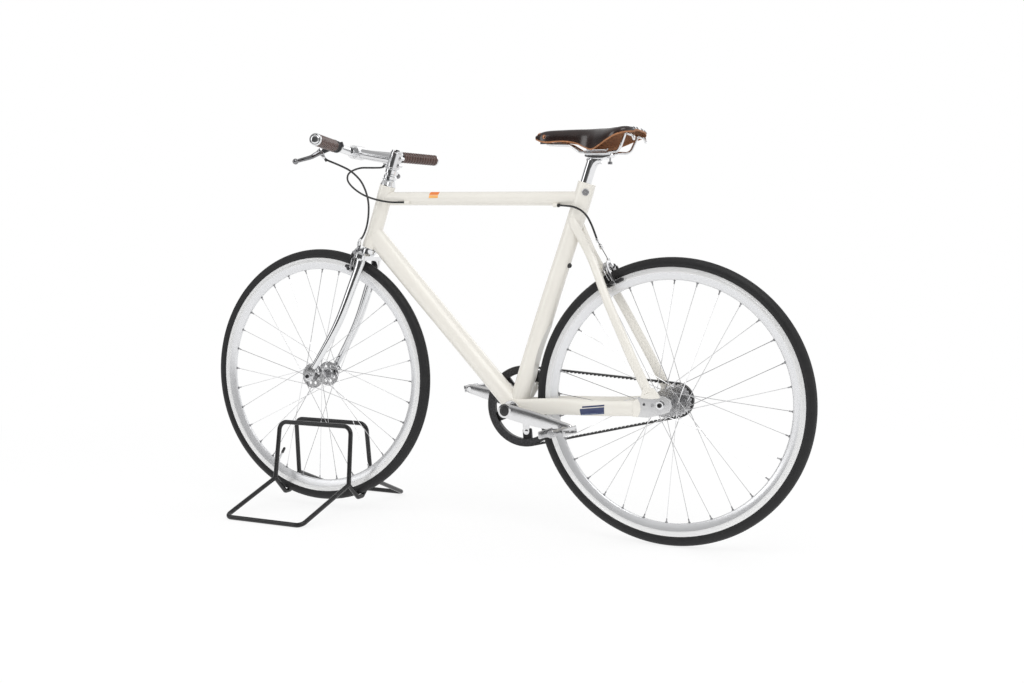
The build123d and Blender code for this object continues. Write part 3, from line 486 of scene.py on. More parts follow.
# name, tone, shade, metal, (lowest, highest) roughness, grain scale, and what else it has
plainLooks = {
    "ivory": ("ivoryPaint", (0.80, 0.775, 0.715), (0.775, 0.75, 0.69), 0.0, (0.34, 0.38), 12.0,
              {"coat": 0.7, "coatRough": 0.14}),
    "chrome": ("chrome", grey(0.83, 0.01), (0.78, 0.79, 0.80), 1.0, (0.035, 0.10), 70.0, {"bump": 0.01}),
    "alloy": ("polishedAlloy", grey(0.74, 0.01), grey(0.70, 0.01), 1.0, (0.07, 0.14), 30.0,
              {"bump": 0.015, "wear": 0.3, "worn": grey(0.88)}),
    "crankAlloy": ("crankAlloy", grey(0.80, 0.01), grey(0.76, 0.01), 0.95, (0.16, 0.24), 30.0,
                   {"bump": 0.01, "wear": 0.3, "worn": grey(0.9)}),
    "hubAlloy": ("hubAlloy", grey(0.40, 0.01), grey(0.34, 0.01), 1.0, (0.22, 0.32), 60.0,
                 {"bump": 0.03, "wear": 0.6, "worn": grey(0.80)}),
    "brightAlloy": ("brightAlloy", grey(0.80, 0.01), grey(0.74, 0.01), 0.7, (0.18, 0.28), 80.0, {"bump": 0.03}),
    "darkChrome": ("darkChrome", grey(0.30, 0.01), grey(0.25, 0.01), 1.0, (0.08, 0.16), 60.0, {"bump": 0.01}),
    "castAlloy": ("castAlloy", grey(0.48, 0.01), (0.40, 0.40, 0.42), 1.0, (0.18, 0.30), 120.0,
                  {"bump": 0.05, "wear": 0.5, "worn": grey(0.85)}),
    "plateAlloy": ("plateAlloy", grey(0.70), grey(0.64, 0.01), 0.55, (0.34, 0.46), 60.0, {"bump": 0.04}),
    "steel": ("spokeSteel", grey(0.80, 0.01), grey(0.70, 0.01), 1.0, (0.14, 0.24), 150.0, {}),
    "darkMetal": ("nipple", grey(0.42, 0.01), grey(0.34, 0.01), 1.0, (0.2, 0.3), 200.0, {}),
    "blackAlloy": ("blackAnodised", grey(0.012, 0.001), grey(0.020, 0.001), 0.2, (0.30, 0.42), 90.0,
                   {"bump": 0.03, "wear": 0.3, "worn": grey(0.14, 0.01), "dust": 0.02, "specular": 0.3}),
    "blackPlastic": ("blackPlastic", grey(0.018, 0.001), grey(0.026, 0.001), 0.0, (0.3, 0.45), 140.0,
                     {"bump": 0.06, "dust": 0.05}),
    "housing": ("cableHousing", grey(0.016, 0.001), grey(0.024, 0.001), 0.0, (0.22, 0.34), 160.0, {"bump": 0.03}),
    "standPaint": ("standPaint", grey(0.006, 0.001), grey(0.010, 0.001), 0.0, (0.16, 0.26), 110.0,
                   {"coat": 0.1, "bump": 0.06, "wear": 0.15, "worn": grey(0.10), "dust": 0.015, "specular": 0.4}),
    "beltRubber": ("beltRubber", grey(0.020, 0.001), grey(0.032, 0.001), 0.0, (0.5, 0.7), 150.0,
                   {"bump": 0.2, "dust": 0.08}),
    "copper": ("copperRivet", (0.62, 0.30, 0.17), (0.50, 0.22, 0.12), 1.0, (0.16, 0.3), 300.0,
               {"wear": 0.4, "worn": (0.85, 0.55, 0.40)}),
    "padRubber": ("padRubber", grey(0.03), grey(0.045), 0.0, (0.6, 0.8), 120.0, {"bump": 0.2}),
    "orange": ("orangePatch", (0.83, 0.21, 0.018), (0.79, 0.19, 0.015), *patchFilm),
    "paleOrange": ("paleOrangePatch", (0.90, 0.46, 0.13), (0.87, 0.43, 0.12), *patchFilm),
    "navy": ("navyPatch", (0.022, 0.035, 0.11), (0.030, 0.045, 0.13), *patchFilm),
    "paleBlue": ("paleBlueLine", (0.30, 0.38, 0.50), (0.27, 0.35, 0.47), *patchFilm),
}
looks = {key: plainLook(*row, **more) for key, (*row, more) in plainLooks.items()}

tyreTones = {"rubber": ((0.010, 0.010, 0.011), (0.018, 0.018, 0.019)), "dust": (0.30, 0.29, 0.27),
             "rough": (0.46, 0.62), "scale": 80.0, "specular": 0.35}
rimTones = {"box": (0.76, 0.765, 0.78), "track": (0.88, 0.88, 0.88), "rough": (0.16, 0.26), "metal": 0.5,
            "trackSpan": (0.3026, 0.3034), "trackRougher": 0.10, "lines": 4200.0}
hideTones = {"scale": 850.0, "crease": 70.0, "specular": 0.4, "edgeWear": 0.7, "edgeLighter": 1.6,
             "mottle": (0.35, 0.7), "mottleMost": 0.6, "height": (0.2, 0.8)}


def tyreLook(name):
    # matt side wall with a thin dust
    made, tree, shader = newLook(name, {"Metallic": 0.0, "Specular IOR Level": tyreTones["specular"]})
    low, high = tyreTones["rough"]
    grain = useGroup(tree, "grain", Scale=tyreTones["scale"], Low=low, High=high)
    feed(tree, grain["Roughness"], shader.inputs["Roughness"])
    colour = mixColour(tree, grain["Cloud"], *tyreTones["rubber"])
    mask = useGroup(tree, "dust", Amount=0.03, Scale=60.0)["Mask"]
    feed(tree, mixColour(tree, mask, colour, tyreTones["dust"]), shader.inputs["Base Color"])
    addBump(tree, shader, grain["Height"], 0.25, 0.0003)
    return made


def rimLook(name, space):
    # polished box with a machined brake track at its edge
    centre = space.translation
    made, tree, shader = newLook(name, {"Metallic": rimTones["metal"]})
    low, high = rimTones["rough"]
    rings = useGroup(tree, "rings", Centre_X=centre.x, Centre_Z=centre.z, Lines=rimTones["lines"])
    grain = useGroup(tree, "grain", Scale=40.0, Low=low, High=high)
    track = rangeNode(tree, rings["Radius"], rimTones["trackSpan"])
    rougher = mathNode(tree, "MULTIPLY", track, rimTones["trackRougher"])
    feed(tree, mathNode(tree, "ADD", grain["Roughness"], rougher), shader.inputs["Roughness"])
    feed(tree, mixColour(tree, track, rimTones["box"], rimTones["track"]), shader.inputs["Base Color"])
    addBump(tree, shader, mathNode(tree, "MULTIPLY", track, rings["Line"]), 0.08, 0.0001)
    return made


def leatherLook(name, dark, worn, rough, coat=0.0, coatRough=0.1):
    # rough is (in the hollows, on the high spots)
    made, tree, shader = newLook(name, {"Metallic": 0.0, "Coat Weight": coat, "Coat Roughness": coatRough,
                                       "Specular IOR Level": hideTones["specular"]})
    hide = useGroup(tree, "hide", Scale=hideTones["scale"], Crease=hideTones["crease"])
    mask = rangeNode(tree, hide["Mottle"], hideTones["mottle"], (0.0, hideTones["mottleMost"]))
    edge = useGroup(tree, "wear", Amount=hideTones["edgeWear"])["Mask"]
    edgeTone = tuple(min(1, hideTones["edgeLighter"] * c) for c in worn)
    feed(tree, mixColour(tree, edge, mixColour(tree, mask, dark, worn), edgeTone), shader.inputs["Base Color"])
    feed(tree, rangeNode(tree, hide["Height"], hideTones["height"], rough), shader.inputs["Roughness"])
    addBump(tree, shader, hide["Height"], 0.3, 0.0004)
    return made


looks["tyre"] = tyreLook("tyreRubber")
looks["frontRim"] = rimLook("frontRimAlloy", frontSpace)
looks["rearRim"] = rimLook("rearRimAlloy", bikeSpace)
looks["saddle"] = leatherLook("saddleLeather", (0.011, 0.0055, 0.005), (0.026, 0.012, 0.009), (0.26, 0.16), coat=0.8,
                              coatRough=0.06)
looks["tan"] = leatherLook("tanLeather", (0.23, 0.095, 0.038), (0.36, 0.16, 0.07), (0.72, 0.5))
looks["grip"] = leatherLook("gripLeather", (0.045, 0.020, 0.016), (0.10, 0.050, 0.038), (0.42, 0.24), coat=0.45)
print("materials built")

# looks of the frame's own nodes
nodeLooks = {
    "ivory": ["head_tube", "top_tube", "down_tube", "seat_tube", "bottom_bracket_shell", "chainstays", "seatstays",
              "seatstay_bridge"],
    "chrome": ["fork_crown", "fork_blades", "fork_ends", "front_axle", "headset_cone", "handlebar", "bar_end_plugs",
               "headset_bearings", "rear_axle", "seat_post", "saddle_rails", "saddle_plates", "pedal_axles"],
    "brightAlloy": ["rear_sprocket"],
    "alloy": ["stem", "bottom_bracket_cups", "dropouts", "seat_clamp",
              "sprocket_spider", "brake_lever_left", "brake_lever_right", "front_caliper", "rear_caliper",
              "crank_arm_left", "crank_arm_right", "pedal_left", "pedal_right"],
    "blackAlloy": ["front_sprocket", "crank_spindle"], "hubAlloy": ["front_hub", "rear_hub"],
    "padRubber": ["front_brake_pads", "rear_brake_pads"],
    "standPaint": ["stand_hoops", "stand_cradles", "stand_feet"],
    "housing": ["front_brake_cable", "rear_brake_cable_front", "rear_brake_cable_rear"],
    "tyre": ["front_tyre", "rear_tyre"], "frontRim": ["front_rim"], "rearRim": ["rear_rim"],
    "steel": ["front_spokes", "rear_spokes"], "beltRubber": ["belt"], "saddle": ["saddle_top"],
    "grip": ["grip_left", "grip_right"],
}
for look, names in nodeLooks.items():
    for name in names:
        mesh = nodes[name].data
        mesh.materials.clear()
        mesh.materials.append(looks[look])

saddle = {"stations": [(95, 42, 633, 624), (101, 59, 638, 622), (114, 72, 641, 619), (134, 74, 640, 613),
                       (158, 66, 639, 602), (182, 52, 639, 591), (204, 38, 638.5, 585), (226, 29, 638, 592),
                       (250, 25, 638, 602), (285, 21.5, 637.5, 607), (325, 18.5, 636.5, 606), (346, 14.5, 633, 609),
                       (362, 6.5, 625, 615)],  # x, half width, top and edge
          "thick": 4.2, "edge": 3.4, "innerEdge": 0.6, "lip": 2.4, "lipShare": 0.3, "across": 36, "crown": 3,
          "shoulder": 0.353}
saddleRows = curvePoints(saddle["stations"], 5)


def saddleLine(row, inset=0.0, low=saddle["edge"]):
    # one line of the hide from side to side
    x, half, top, edge = row
    half, top, edge = half - inset, top - inset, edge + low
    line = []
    for k in range(saddle["across"] + 1):
        turn = math.radians(-90 + 180 * k / saddle["across"])
        rise = (1 - abs(math.sin(turn)) ** saddle["crown"]) ** saddle["shoulder"]
        line.append(Vector((x, half * math.sin(turn), edge + (top - edge) * rise)))
    return line


def buildSaddle():
    points = []
    for row in saddleRows:
        x, half, edge = row.x, row.y, row.w
        lip = min(saddle["lip"], half * saddle["lipShare"])
        inner = saddleLine(row, saddle["thick"], saddle["innerEdge"])
        points += saddleLine(row) + [Vector((x, half - lip, edge)), *reversed(inner), Vector((x, lip - half, edge))]
    count = saddle["across"] + 1
    total = len(points) // len(saddleRows)
    hide, under = [], []
    for i, face in enumerate(gridFaces(len(saddleRows), total)):
        (hide if i % total < count - 1 else under).append(face)
    for base in (0, len(points) - total):
        for k in range(count - 1):
            under.append([base + k, base + k + 1, base + total - 3 - k, base + total - 2 - k])
        under.append([base, base + total - 2, base + total - 1])
        under.append([base + count - 1, base + count, base + count + 1])
    parts = [((points, hide), "saddle"), ((points, under), "tan")]
    buildPiece("saddle_leather", bikeSpace, parts, "frame", ["saddle_top"], sharp=60)


def onSaddle(x, share):
    # point and outward direction on the hide, share from -1 to 1 across
    i = min(range(len(saddleRows)), key=lambda n: abs(saddleRows[n][0] - x))
    row, after = saddleRows[i], saddleRows[min(i + 1, len(saddleRows) - 1)]
    k = int((math.degrees(math.asin(share)) + 90) / 180 * saddle["across"])
    k = max(1, min(saddle["across"] - 1, k))
    line, nextLine = saddleLine(row), saddleLine(after)
    normal = (line[k + 1] - line[k - 1]).cross(nextLine[k] - line[k])
    if normal.dot(line[k] - Vector((x, 0, row[3] - 20))) < 0:
        normal.negate()
    return line[k], normal


saddleTrim = {"dome": [(0, 1.5), (1.6, 1.35), (3.0, 0.9), (4.0, 0.3), (4.3, -0.6)], "noseTimes": 1.25,
              "stud": [(0, 0.9), (1.4, 0.7), (2.2, 0.1), (2.4, -0.5)], "studX": 213, "studShare": 0.93,
              "backX": 98, "backShares": (-0.9, -0.66, -0.3, 0.3, 0.66, 0.9),
              "nose": [(335, -0.97), (352, -0.6), (352, 0.6), (335, 0.97)],
              "bagLoop": [(110, 34, 622), (99, 34, 617), (96, 38, 608), (96, 46, 608), (99, 50, 617), (110, 50, 622)],
              "loopRadius": 1.9, "noseBolt": [(322, 0, 610), (282, 0, 606)], "boltRadius": 3.0,
              "nut": (6.2, 5.5), "nutAt": (300, 0, 607.8), "nutWay": (-1, 0, -0.1)}


def buildSaddleTrim():
    made = saddleTrim
    parts = [turned(made["dome"], 20, "darkChrome", *onSaddle(made["backX"], share))
             for share in made["backShares"]]
    wider = [(radius * made["noseTimes"], y) for radius, y in made["dome"]]
    parts += [turned(wider, 24, "copper", *onSaddle(*spot)) for spot in made["nose"]]
    for side in (-1, 1):
        parts.append(turned(made["stud"], 14, "saddle", *onSaddle(made["studX"], side * made["studShare"])))
        line = curvePoints(mirrored(made["bagLoop"], side), 5)
        parts.append((sweep(line, made["loopRadius"], sides=12), "chrome"))
    parts.append((sweep(made["noseBolt"], made["boltRadius"], sides=14), "steel"))
    parts.append(nut(*made["nut"], "steel", made["nutAt"], made["nutWay"]))
    buildPiece("saddle_trim", bikeSpace, parts, "frame")


seatHead = {"neck": [(225.5, 0, 524), (218, 0, 548), (210.5, 0, 562), (201, 0, 570), (193, 0, 573)],
            "neckWide": [13.7, 13.9, 14.6, 16.5, 19.0], "neckDeep": [13.7, 13.6, 12.4, 10.0, 7.0],
            "cradle": [(160, 575.5), (166, 570), (182, 566.5), (206, 566.5), (222, 569.5), (229, 573.5), (228, 577),
                       (214, 578), (176, 578), (161, 578.5)], "cradleHalf": 17,
            "lowClamp": [(163, 22, 579.6), (170, 22, 578.4), (216, 22, 578.4), (225, 22, 579.6)],
            "highClamp": [(168, 22, 586.0), (174, 22, 587.2), (212, 22, 587.2), (219, 22, 586.0)],
            "bridge": [(194.5, 15, 588.6), (194.5, 4, 589.6)], "middle": [(194.5, -6, 589.4), (194.5, 6, 589.4)],
            "bolts": [(223.5, 562), (168.5, 554)], "boltTop": 579, "boltRadius": 2.5,
            "boltHead": [(0, 0), (5.2, 0), (5.6, 0.8), (5.6, 5.4), (5.0, 6.2), (0, 6.2)]}


def buildSeatHead():
    # curved head of the post, cradle under the rails and two upright bolts
    made = seatHead
    neck = sweep(curvePoints(made["neck"]), made["neckWide"], made["neckDeep"], 32, alongY)
    parts = [(neck, "chrome"),
             (plate(made["cradle"], -made["cradleHalf"], made["cradleHalf"], 2.2), "chrome")]
    for side in (1, -1):
        for key, wide, deep, sides, square in (("lowClamp", [6.4, 7.2, 7.2, 6.4], 2.9, 20, 0.7),
                                               ("highClamp", [5.2, 6.4, 6.4, 5.2], 2.7, 20, 0.7),
                                               ("bridge", [9.0, 7.5], 1.9, 16, 0.8)):
            parts.append((sweep(mirrored(made[key], side), wide, deep, sides, alongZ, square), "chrome"))
    parts.append((sweep(made["middle"], 7.5, 1.9, 16, alongZ, 0.8), "chrome"))
    for x, low in made["bolts"]:
        parts.append((sweep([(x, 0, low), (x, 0, made["boltTop"])], made["boltRadius"], sides=12), "steel"))
        parts.append(turned(made["boltHead"], 18, "darkChrome", (x, 0, low), alongZ))
    buildPiece("seat_post_head", bikeSpace, parts, "frame", ["seat_clamp"])


buildSeatHead()
buildSaddle()
buildSaddleTrim()
print("saddle built")

bar = {"bend": Vector((116.5, 40, 599.1)), "end": Vector((50.7, 287, 623.4)), "gripStart": 159.0, "gripEnd": 287.0,
       "clampAt": 140.0}
barAlong = (bar["end"] - bar["bend"]).normalized()
barSides = {"left": identity, "right": flip}


def barPoint(y):
    return bar["bend"] + (bar["end"] - bar["bend"]) * ((y - bar["bend"].y) / (bar["end"].y - bar["bend"].y))


# each rib is (share of its pitch, share of its depth below the top)
grip = {"ribs": 13, "radius": 15.0, "ribDeep": 2.3, "hole": 11.3, "start": 3.5, "endGap": 0.5,
        "rib": ((0.04, 1.0), (0.12, 0.6), (0.22, 0.22), (0.36, 0.05), (0.5, 0.0), (0.64, 0.05), (0.78, 0.22),
                (0.88, 0.6), (0.96, 1.0)), "collar": (15.6, -0.5, 3.3)}


def gripProfile():
    start, end = grip["start"], (bar["gripEnd"] - bar["gripStart"]) * (1 / barAlong.y) - grip["endGap"]
    pitch = (end - start) / grip["ribs"]
    inner = grip["radius"] - grip["ribDeep"]
    profile = [(grip["hole"], start), (inner, start)]
    for k in range(grip["ribs"]):
        profile += [(grip["radius"] - deep * grip["ribDeep"], start + k * pitch + share * pitch)
                    for share, deep in grip["rib"]]
    return profile + [(inner, end), (grip["hole"], end)]


def buildGrip(side):
    space = forkSpace @ barSides[side] @ toward(barPoint(bar["gripStart"]), barAlong)
    parts = [(lathe(gripProfile(), 48), "grip"), (washer(grip["hole"], *grip["collar"], 40), "blackPlastic")]
    buildPiece("grip_" + side + "_wrap", space, parts, "fork", ["grip_" + side], sharp=50)


plug = {"dome": [(0, 5.0), (6.0, 4.9), (9.5, 4.1), (10.4, 3.4), (11.2, 3.6), (12.6, 3.9), (14.2, 2.9), (15.0, 1.2),
                 (15.0, -1.2), (14.2, -2.0), (11.0, -2.0)]}


def buildPlugs():
    parts = [(lathe(plug["dome"], 40), "chrome", turn @ toward(bar["end"], barAlong)) for turn in barSides.values()]
    buildPiece("bar_plug_domes", forkSpace, parts, "fork", ["bar_end_plugs"])


lever = {"pivot": Vector((119.9, 154, 584.9)), "knee": Vector((127.2, 180, 566.9)),
         "tip": Vector((124.7, 240, 551.2)), "band": (11.25, 15.0, -6, 6), "neckFrom": (12, 24), "neckShort": 4,
         "neckWide": [6.5, 5.5, 7.0], "neckDeep": [5.5, 5.0, 6.0], "drumBolt": (4.4, 1.6), "drumHalf": 8.2,
         "drum": [(0, -8.4), (6.6, -8.4), (8.6, -7.0), (8.8, -5.0), (8.8, 5.0), (8.6, 7.0), (6.6, 8.4), (0, 8.4)],
         "bladeWide": [5.0, 3.6, 3.0, 2.8, 2.6], "bladeDeep": [6.6, 6.2, 5.4, 5.0, 4.4], "ball": 7.4,
         "pinchBack": 15.5, "pinchRadius": 4.2, "pinchHalf": 6.5, "pinchBolt": (3.6, 2.6), "pinchBoltOut": 6.3,
         "adjuster": Vector((119, 154, 582)), "leave": {"left": (106, 146, 570), "right": (112, 130, 572)},
         "knurl": [(0, 7), (4.2, 7), (4.6, 7.8), (4.6, 13.2), (4.2, 14), (3.4, 14.2), (3.4, 16.5), (2.6, 17),
                   (0, 17)],
         "sleeve": [(2.55, 17), (3.5, 17), (3.5, 23.5), (3.1, 24.2), (2.55, 24.2)]}


def buildLever(side):
    space = forkSpace @ barSides[side]
    clamp, pivot, knee, tip = barPoint(bar["clampAt"]), lever["pivot"], lever["knee"], lever["tip"]
    reach = (pivot - clamp).normalized()
    axis = barAlong.cross(reach).normalized()
    neck = [*(clamp + reach * out for out in lever["neckFrom"]), pivot - reach * lever["neckShort"]]
    parts = [(washer(*lever["band"], 40), "blackAlloy", toward(clamp, barAlong)),
             (sweep(neck, lever["neckWide"], lever["neckDeep"], 16, axis, 0.7), "blackAlloy"),
             turned(lever["drum"], 28, "alloy", pivot, axis)]
    for way in (1, -1):
        parts.append(bolted(*lever["drumBolt"], "chrome", pivot + axis * way * lever["drumHalf"], axis * way))
    # pinch bolt on the back of the band
    pinch, half = clamp - reach * lever["pinchBack"], axis * lever["pinchHalf"]
    parts.append((sweep([pinch - half, pinch + half], lever["pinchRadius"], sides=18), "blackAlloy"))
    parts.append(bolted(*lever["pinchBolt"], "chrome", pinch + axis * lever["pinchBoltOut"], axis))
    line = curvePoints([pivot + barAlong * 3, (pivot + knee) / 2 + reach * 2.0, knee,
                        knee * 0.5 + tip * 0.5 + reach * 1.2, tip])
    parts.append((sweep(line, lever["bladeWide"], lever["bladeDeep"], 20, axis, 0.75), "darkChrome"))
    ball = lever["ball"]
    bulb = [(ball * math.cos(a), ball * math.sin(a)) for a in [math.radians(d) for d in range(-80, 81, 10)]]
    along = (line[-1] - line[-2]).normalized()
    parts.append(turned([(0, -ball), *bulb, (0, ball)], 28, "darkChrome", tip, along))
    # adjuster where the cable leaves
    out = (Vector(lever["leave"][side]) - lever["adjuster"]).normalized()
    parts.append(turned(lever["knurl"], 14, "alloy", lever["adjuster"], out))
    parts.append(turned(lever["sleeve"], 16, "blackPlastic", lever["adjuster"], out))
    buildPiece("lever_" + side + "_parts", space, parts, "fork", ["brake_lever_" + side])


stem = {"spacers": [(18.6, 557.4, 560.6), (17.2, 560.8, 573.5), (17.2, 574.1, 591.6)], "hole": 14.4, "cap": 637.6,
        "pinchX": -17.5, "pinchHeights": (603, 622), "plateCentre": (116.5, 599.1), "plateY": 14, "plateReach": 16.9,
        "plateTurns": (40, -50), "capBolt": (5.2, 2.6), "pinchHalf": 8.5, "pinchRadius": 4.6, "pinchBolt": (3.4, 1.6),
        "pinchBoltY": 8.4, "plateBolt": (3.6, 3.0)}


def buildStemTrim():
    parts = [(washer(stem["hole"], *spacer, 48), "chrome", toward(origin, alongZ)) for spacer in stem["spacers"]]
    parts.append(bolted(*stem["capBolt"], "blackAlloy", (0, 0, stem["cap"]), alongZ))
    x, half = stem["pinchX"], stem["pinchHalf"]
    for z in stem["pinchHeights"]:
        parts.append((sweep([(x, -half, z), (x, half, z)], stem["pinchRadius"], sides=20), "alloy"))
        parts.append(bolted(*stem["pinchBolt"], "chrome", (x, stem["pinchBoltY"], z), alongY))
    for y in (-stem["plateY"], stem["plateY"]):
        for turn in stem["plateTurns"]:
            way = around(1, math.radians(turn))
            place = Vector((stem["plateCentre"][0], y, stem["plateCentre"][1])) + way * stem["plateReach"]
            parts.append(bolted(*stem["plateBolt"], "chrome", place, way))
    buildPiece("stem_trim", forkSpace, parts, "fork")


for side in barSides:
    buildGrip(side)
    buildLever(side)
buildPlugs()
buildStemTrim()
print("bar built")

# A brake's own space: X away from its mount, Y across, Z away from the axle.
stayOut = Vector((186.44, 0, 300)).normalized()
stayBack = Vector((-stayOut.z, 0, stayOut.x))
brakes = {
    "front": {"space": forkSpace @ Matrix.Translation((12, 0, 353)), "seat": Vector((6, 30, 35)), "axle": 29.7,
              "body": "fork", "pivot": 353.0},
    "rear": {"space": bikeSpace @ axesMatrix(stayOut * 353.2 + stayBack * 12, stayBack, Vector((0, -1, 0)), stayOut),
             "seat": Vector((9, 36, 26)), "axle": -12.0, "body": "frame", "pivot": 353.2},
}
caliper = {
    "armOuter": 34.0, "armInner": 22.5, "armMiddle": -22.0, "armSwell": 1.5, "armBevel": 1.3,
    "foot": [(22.8, -40), (23.5, -50), (26, -52.5), (30, -52.5), (32.5, -50), (33.6, -40)],
    "arms": [(1, 120, 8, 13.6), (-1, 128, 14.4, 20)],  # side, last degree, and from and to along X
    "hub": [(0, 0.5), (6.3, 0.5), (6.3, 7.6), (7.8, 8), (7.8, 20.2), (6.6, 21), (0, 21)],
    "joint": [(0, 7.8), (6, 7.8), (6, 21), (5.2, 22), (0, 22)], "jointAt": (0, 20, -2), "jointBoltAt": (21.8, 20, -2),
    "barrel": [(0, -2), (4.0, -2), (4.0, 0.4), (5.0, 1.0), (5.0, 6.2), (4.2, 7), (3.4, 7.2), (3.4, 9.6), (0, 9.8)],
    "upperWide": [7, 5.2, 4.8, 4.6], "upperDeep": [2.8, 3.2, 4.0, 4.4], "lowerWide": [6.5, 5.0, 4.6, 4.4],
    "spring": [(7.4, -6, 3), (7.2, -16, 4), (7.2, -27, -8), (7.2, -28.5, -24), (7.2, -27, -36)],
    "hubNut": (5.6, 4.6), "hubNutX": 20.8, "jointBolt": (4.2, 1.8), "anchorNut": (4.6, 4.5), "wireRadius": 0.8,
    "tab": ((2, 1, -1), (3, 8, -7), (3, 10, -14)), "tabWide": [3.6, 3.0, 2.4], "padWasher": (2.5, 5.2, 0, 1.3),
    "padWasherY": 33.6, "padNut": (4.4, 3.6), "padNutY": 34.8,
    "rimReach": 309, "rimX": 14, "shoeY": 16.5, "shoe": [(-21.5, 0, 0), (-19, 0, 0), (19, 0, 0), (21.5, 0, 0)],
    # look, shift out of the rim, half sizes of the rubber and of its holder
    "shoeLayers": [("padRubber", -2.6, [2.2, 2.9, 2.9, 2.2], [3.0, 3.9, 3.9, 3.0]),
                   ("blackAlloy", 2.4, [1.6, 2.6, 2.6, 1.6], [3.2, 4.2, 4.2, 3.2])],
}


def armOutline(side, lastDegree):
    # curved arm from its pad up and over the wheel, outline of (Y, Z)
    outer, inner, middle = caliper["armOuter"], caliper["armInner"], caliper["armMiddle"]
    top, low = [], []
    for degree in range(0, lastDegree + 1, 8):
        c, s = math.cos(math.radians(degree)), math.sin(math.radians(degree))
        top.append((side * outer * c, middle + outer * s))
        low.insert(0, (side * inner * c, middle + (inner + caliper["armSwell"] * s) * s))
    return top + low + [(side * y, z) for y, z in caliper["foot"]]


def buildCaliper(which):
    made = brakes[which]
    space, seat = made["space"], made["seat"]
    parts = [(plate(armOutline(side, last), low, high, caliper["armBevel"]), "castAlloy", swapXY)
             for side, last, low, high in caliper["arms"]]
    parts += [turned(caliper["hub"], 28, "castAlloy", origin, alongX),
              nut(*caliper["hubNut"], "chrome", (caliper["hubNutX"], 0, 0), alongX),
              turned(caliper["joint"], 24, "castAlloy", caliper["jointAt"], alongX),
              bolted(*caliper["jointBolt"], "blackAlloy", caliper["jointBoltAt"], alongX)]
    low = seat - Vector((0, 0, 10))
    upper = curvePoints([(11, 12, 6), (11, 20, 10), (low.x + 1, low.y - 5, low.z - 4), low], 5)
    parts.append((sweep(upper, caliper["upperWide"], caliper["upperDeep"], 16, alongX, 0.75), "castAlloy"))
    parts.append(turned(caliper["barrel"], 14, "chrome", low, alongZ))
    anchor = Vector((seat.x + 6, seat.y, -6))
    lower = curvePoints([(17, -4, 6), (17, 8, 9), (17, 20, 4), anchor], 5)
    parts.append((sweep(lower, caliper["lowerWide"], 2.7, 16, alongX, 0.75), "castAlloy"))
    parts.append(nut(*caliper["anchorNut"], "blackAlloy", anchor + Vector((2, 0, 0)), alongX))
    wire = [anchor + Vector((1, 0, 0)), Vector((seat.x, seat.y, seat.z - 9))]
    parts.append((sweep(wire, caliper["wireRadius"], sides=8), "steel"))
    # quick release tab
    tab = curvePoints([anchor + Vector(step) for step in caliper["tab"]], 4)
    parts.append((sweep(tab, caliper["tabWide"], 1.5, 12, alongX, 0.8), "blackPlastic"))
    spring = curvePoints(caliper["spring"], 5)
    for side in (1, -1):
        parts.append((sweep(mirrored(spring, side), 1.0, sides=8), "steel"))
    # shoes along the rim
    x, reach = caliper["rimX"], caliper["rimReach"]
    off = x - made["axle"]
    up = math.sqrt(reach ** 2 - off ** 2) - made["pivot"]
    turn = Matrix.Rotation(math.asin(off / reach), 4, "Y")
    for side in (1, -1):
        place = Matrix.Translation((x, side * caliper["shoeY"], up))
        for look, shift, wide, deep in caliper["shoeLayers"]:
            layer = sweep(caliper["shoe"], wide, deep, 20, alongZ, 0.5)
            parts.append((layer, look, place, turn, Matrix.Translation((0, side * shift, 0))))
        out = (0, side, 0)
        parts.append((washer(*caliper["padWasher"]), "chrome", toward((x, side * caliper["padWasherY"], up), out)))
        parts.append(nut(*caliper["padNut"], "blackAlloy", (x, side * caliper["padNutY"], up), out))
    buildPiece(which + "_caliper_arms", space, parts, made["body"],
               [which + "_caliper", which + "_brake_pads"], sharp=32)


for which in brakes:
    buildCaliper(which)
print("brakes built")

# groove and rib are (from angle, to angle, rise); cuts are (angles, every so many, offset on the far side, depth)
tyre = {"centre": 325.0, "section": 14.0, "segments": 720, "bead": (315.6, 9.7),
        "angles": [-39, -34, -28, -20, -12, -8, -6, 2, 12, 24, 36, 46, 54, 58, 66, 74, 79, 80.5, 82, 83.5, 87, 90],
        "groove": (80, 82.5, -0.9), "rib": (-9, -5, 0.3), "cuts": ((58, 66), 6, 3, 0.8)}


def tyreMesh():
    angles = tyre["angles"] + [180 - a for a in reversed(tyre["angles"][:-1])]
    cutAngles, every, offset, cutDeep = tyre["cuts"]
    points = []
    for i in range(tyre["segments"]):
        turn = 2 * math.pi * i / tyre["segments"]
        for angle in angles:
            reach = tyre["section"]
            edge = min(angle, 180 - angle)
            for start, end, rise in (tyre["groove"], tyre["rib"]):
                reach += rise if start < edge < end else 0
            if edge in cutAngles and (i + (offset if angle > 90 else 0)) % every < 1:
                reach -= cutDeep
            a = math.radians(angle)
            points.append(around(tyre["centre"] + reach * math.sin(a), turn, reach * math.cos(a)))
        points += [around(tyre["bead"][0], turn, y) for y in (-tyre["bead"][1], tyre["bead"][1])]
    return points, gridFaces(tyre["segments"], len(angles) + 2, closed=True)


rim = {"half": [(316.6, 8.6), (317.0, 9.2), (316.6, 10.0), (311.8, 10.0), (311.4, 9.7), (310.6, 9.7), (310.2, 10.0),
                (303.6, 10.0), (302.4, 9.7), (296.0, 7.9), (292.4, 6.4), (289.2, 4.9), (286.6, 3.6), (285.7, 2.2)],
       "bed": [(313.0, -7.6), (313.0, 7.6)], "segments": 200}


def rimMesh():
    profile = rim["half"] + [(r, -y) for r, y in reversed(rim["half"])] + rim["bed"]
    return lathe(profile, rim["segments"], closed=True)


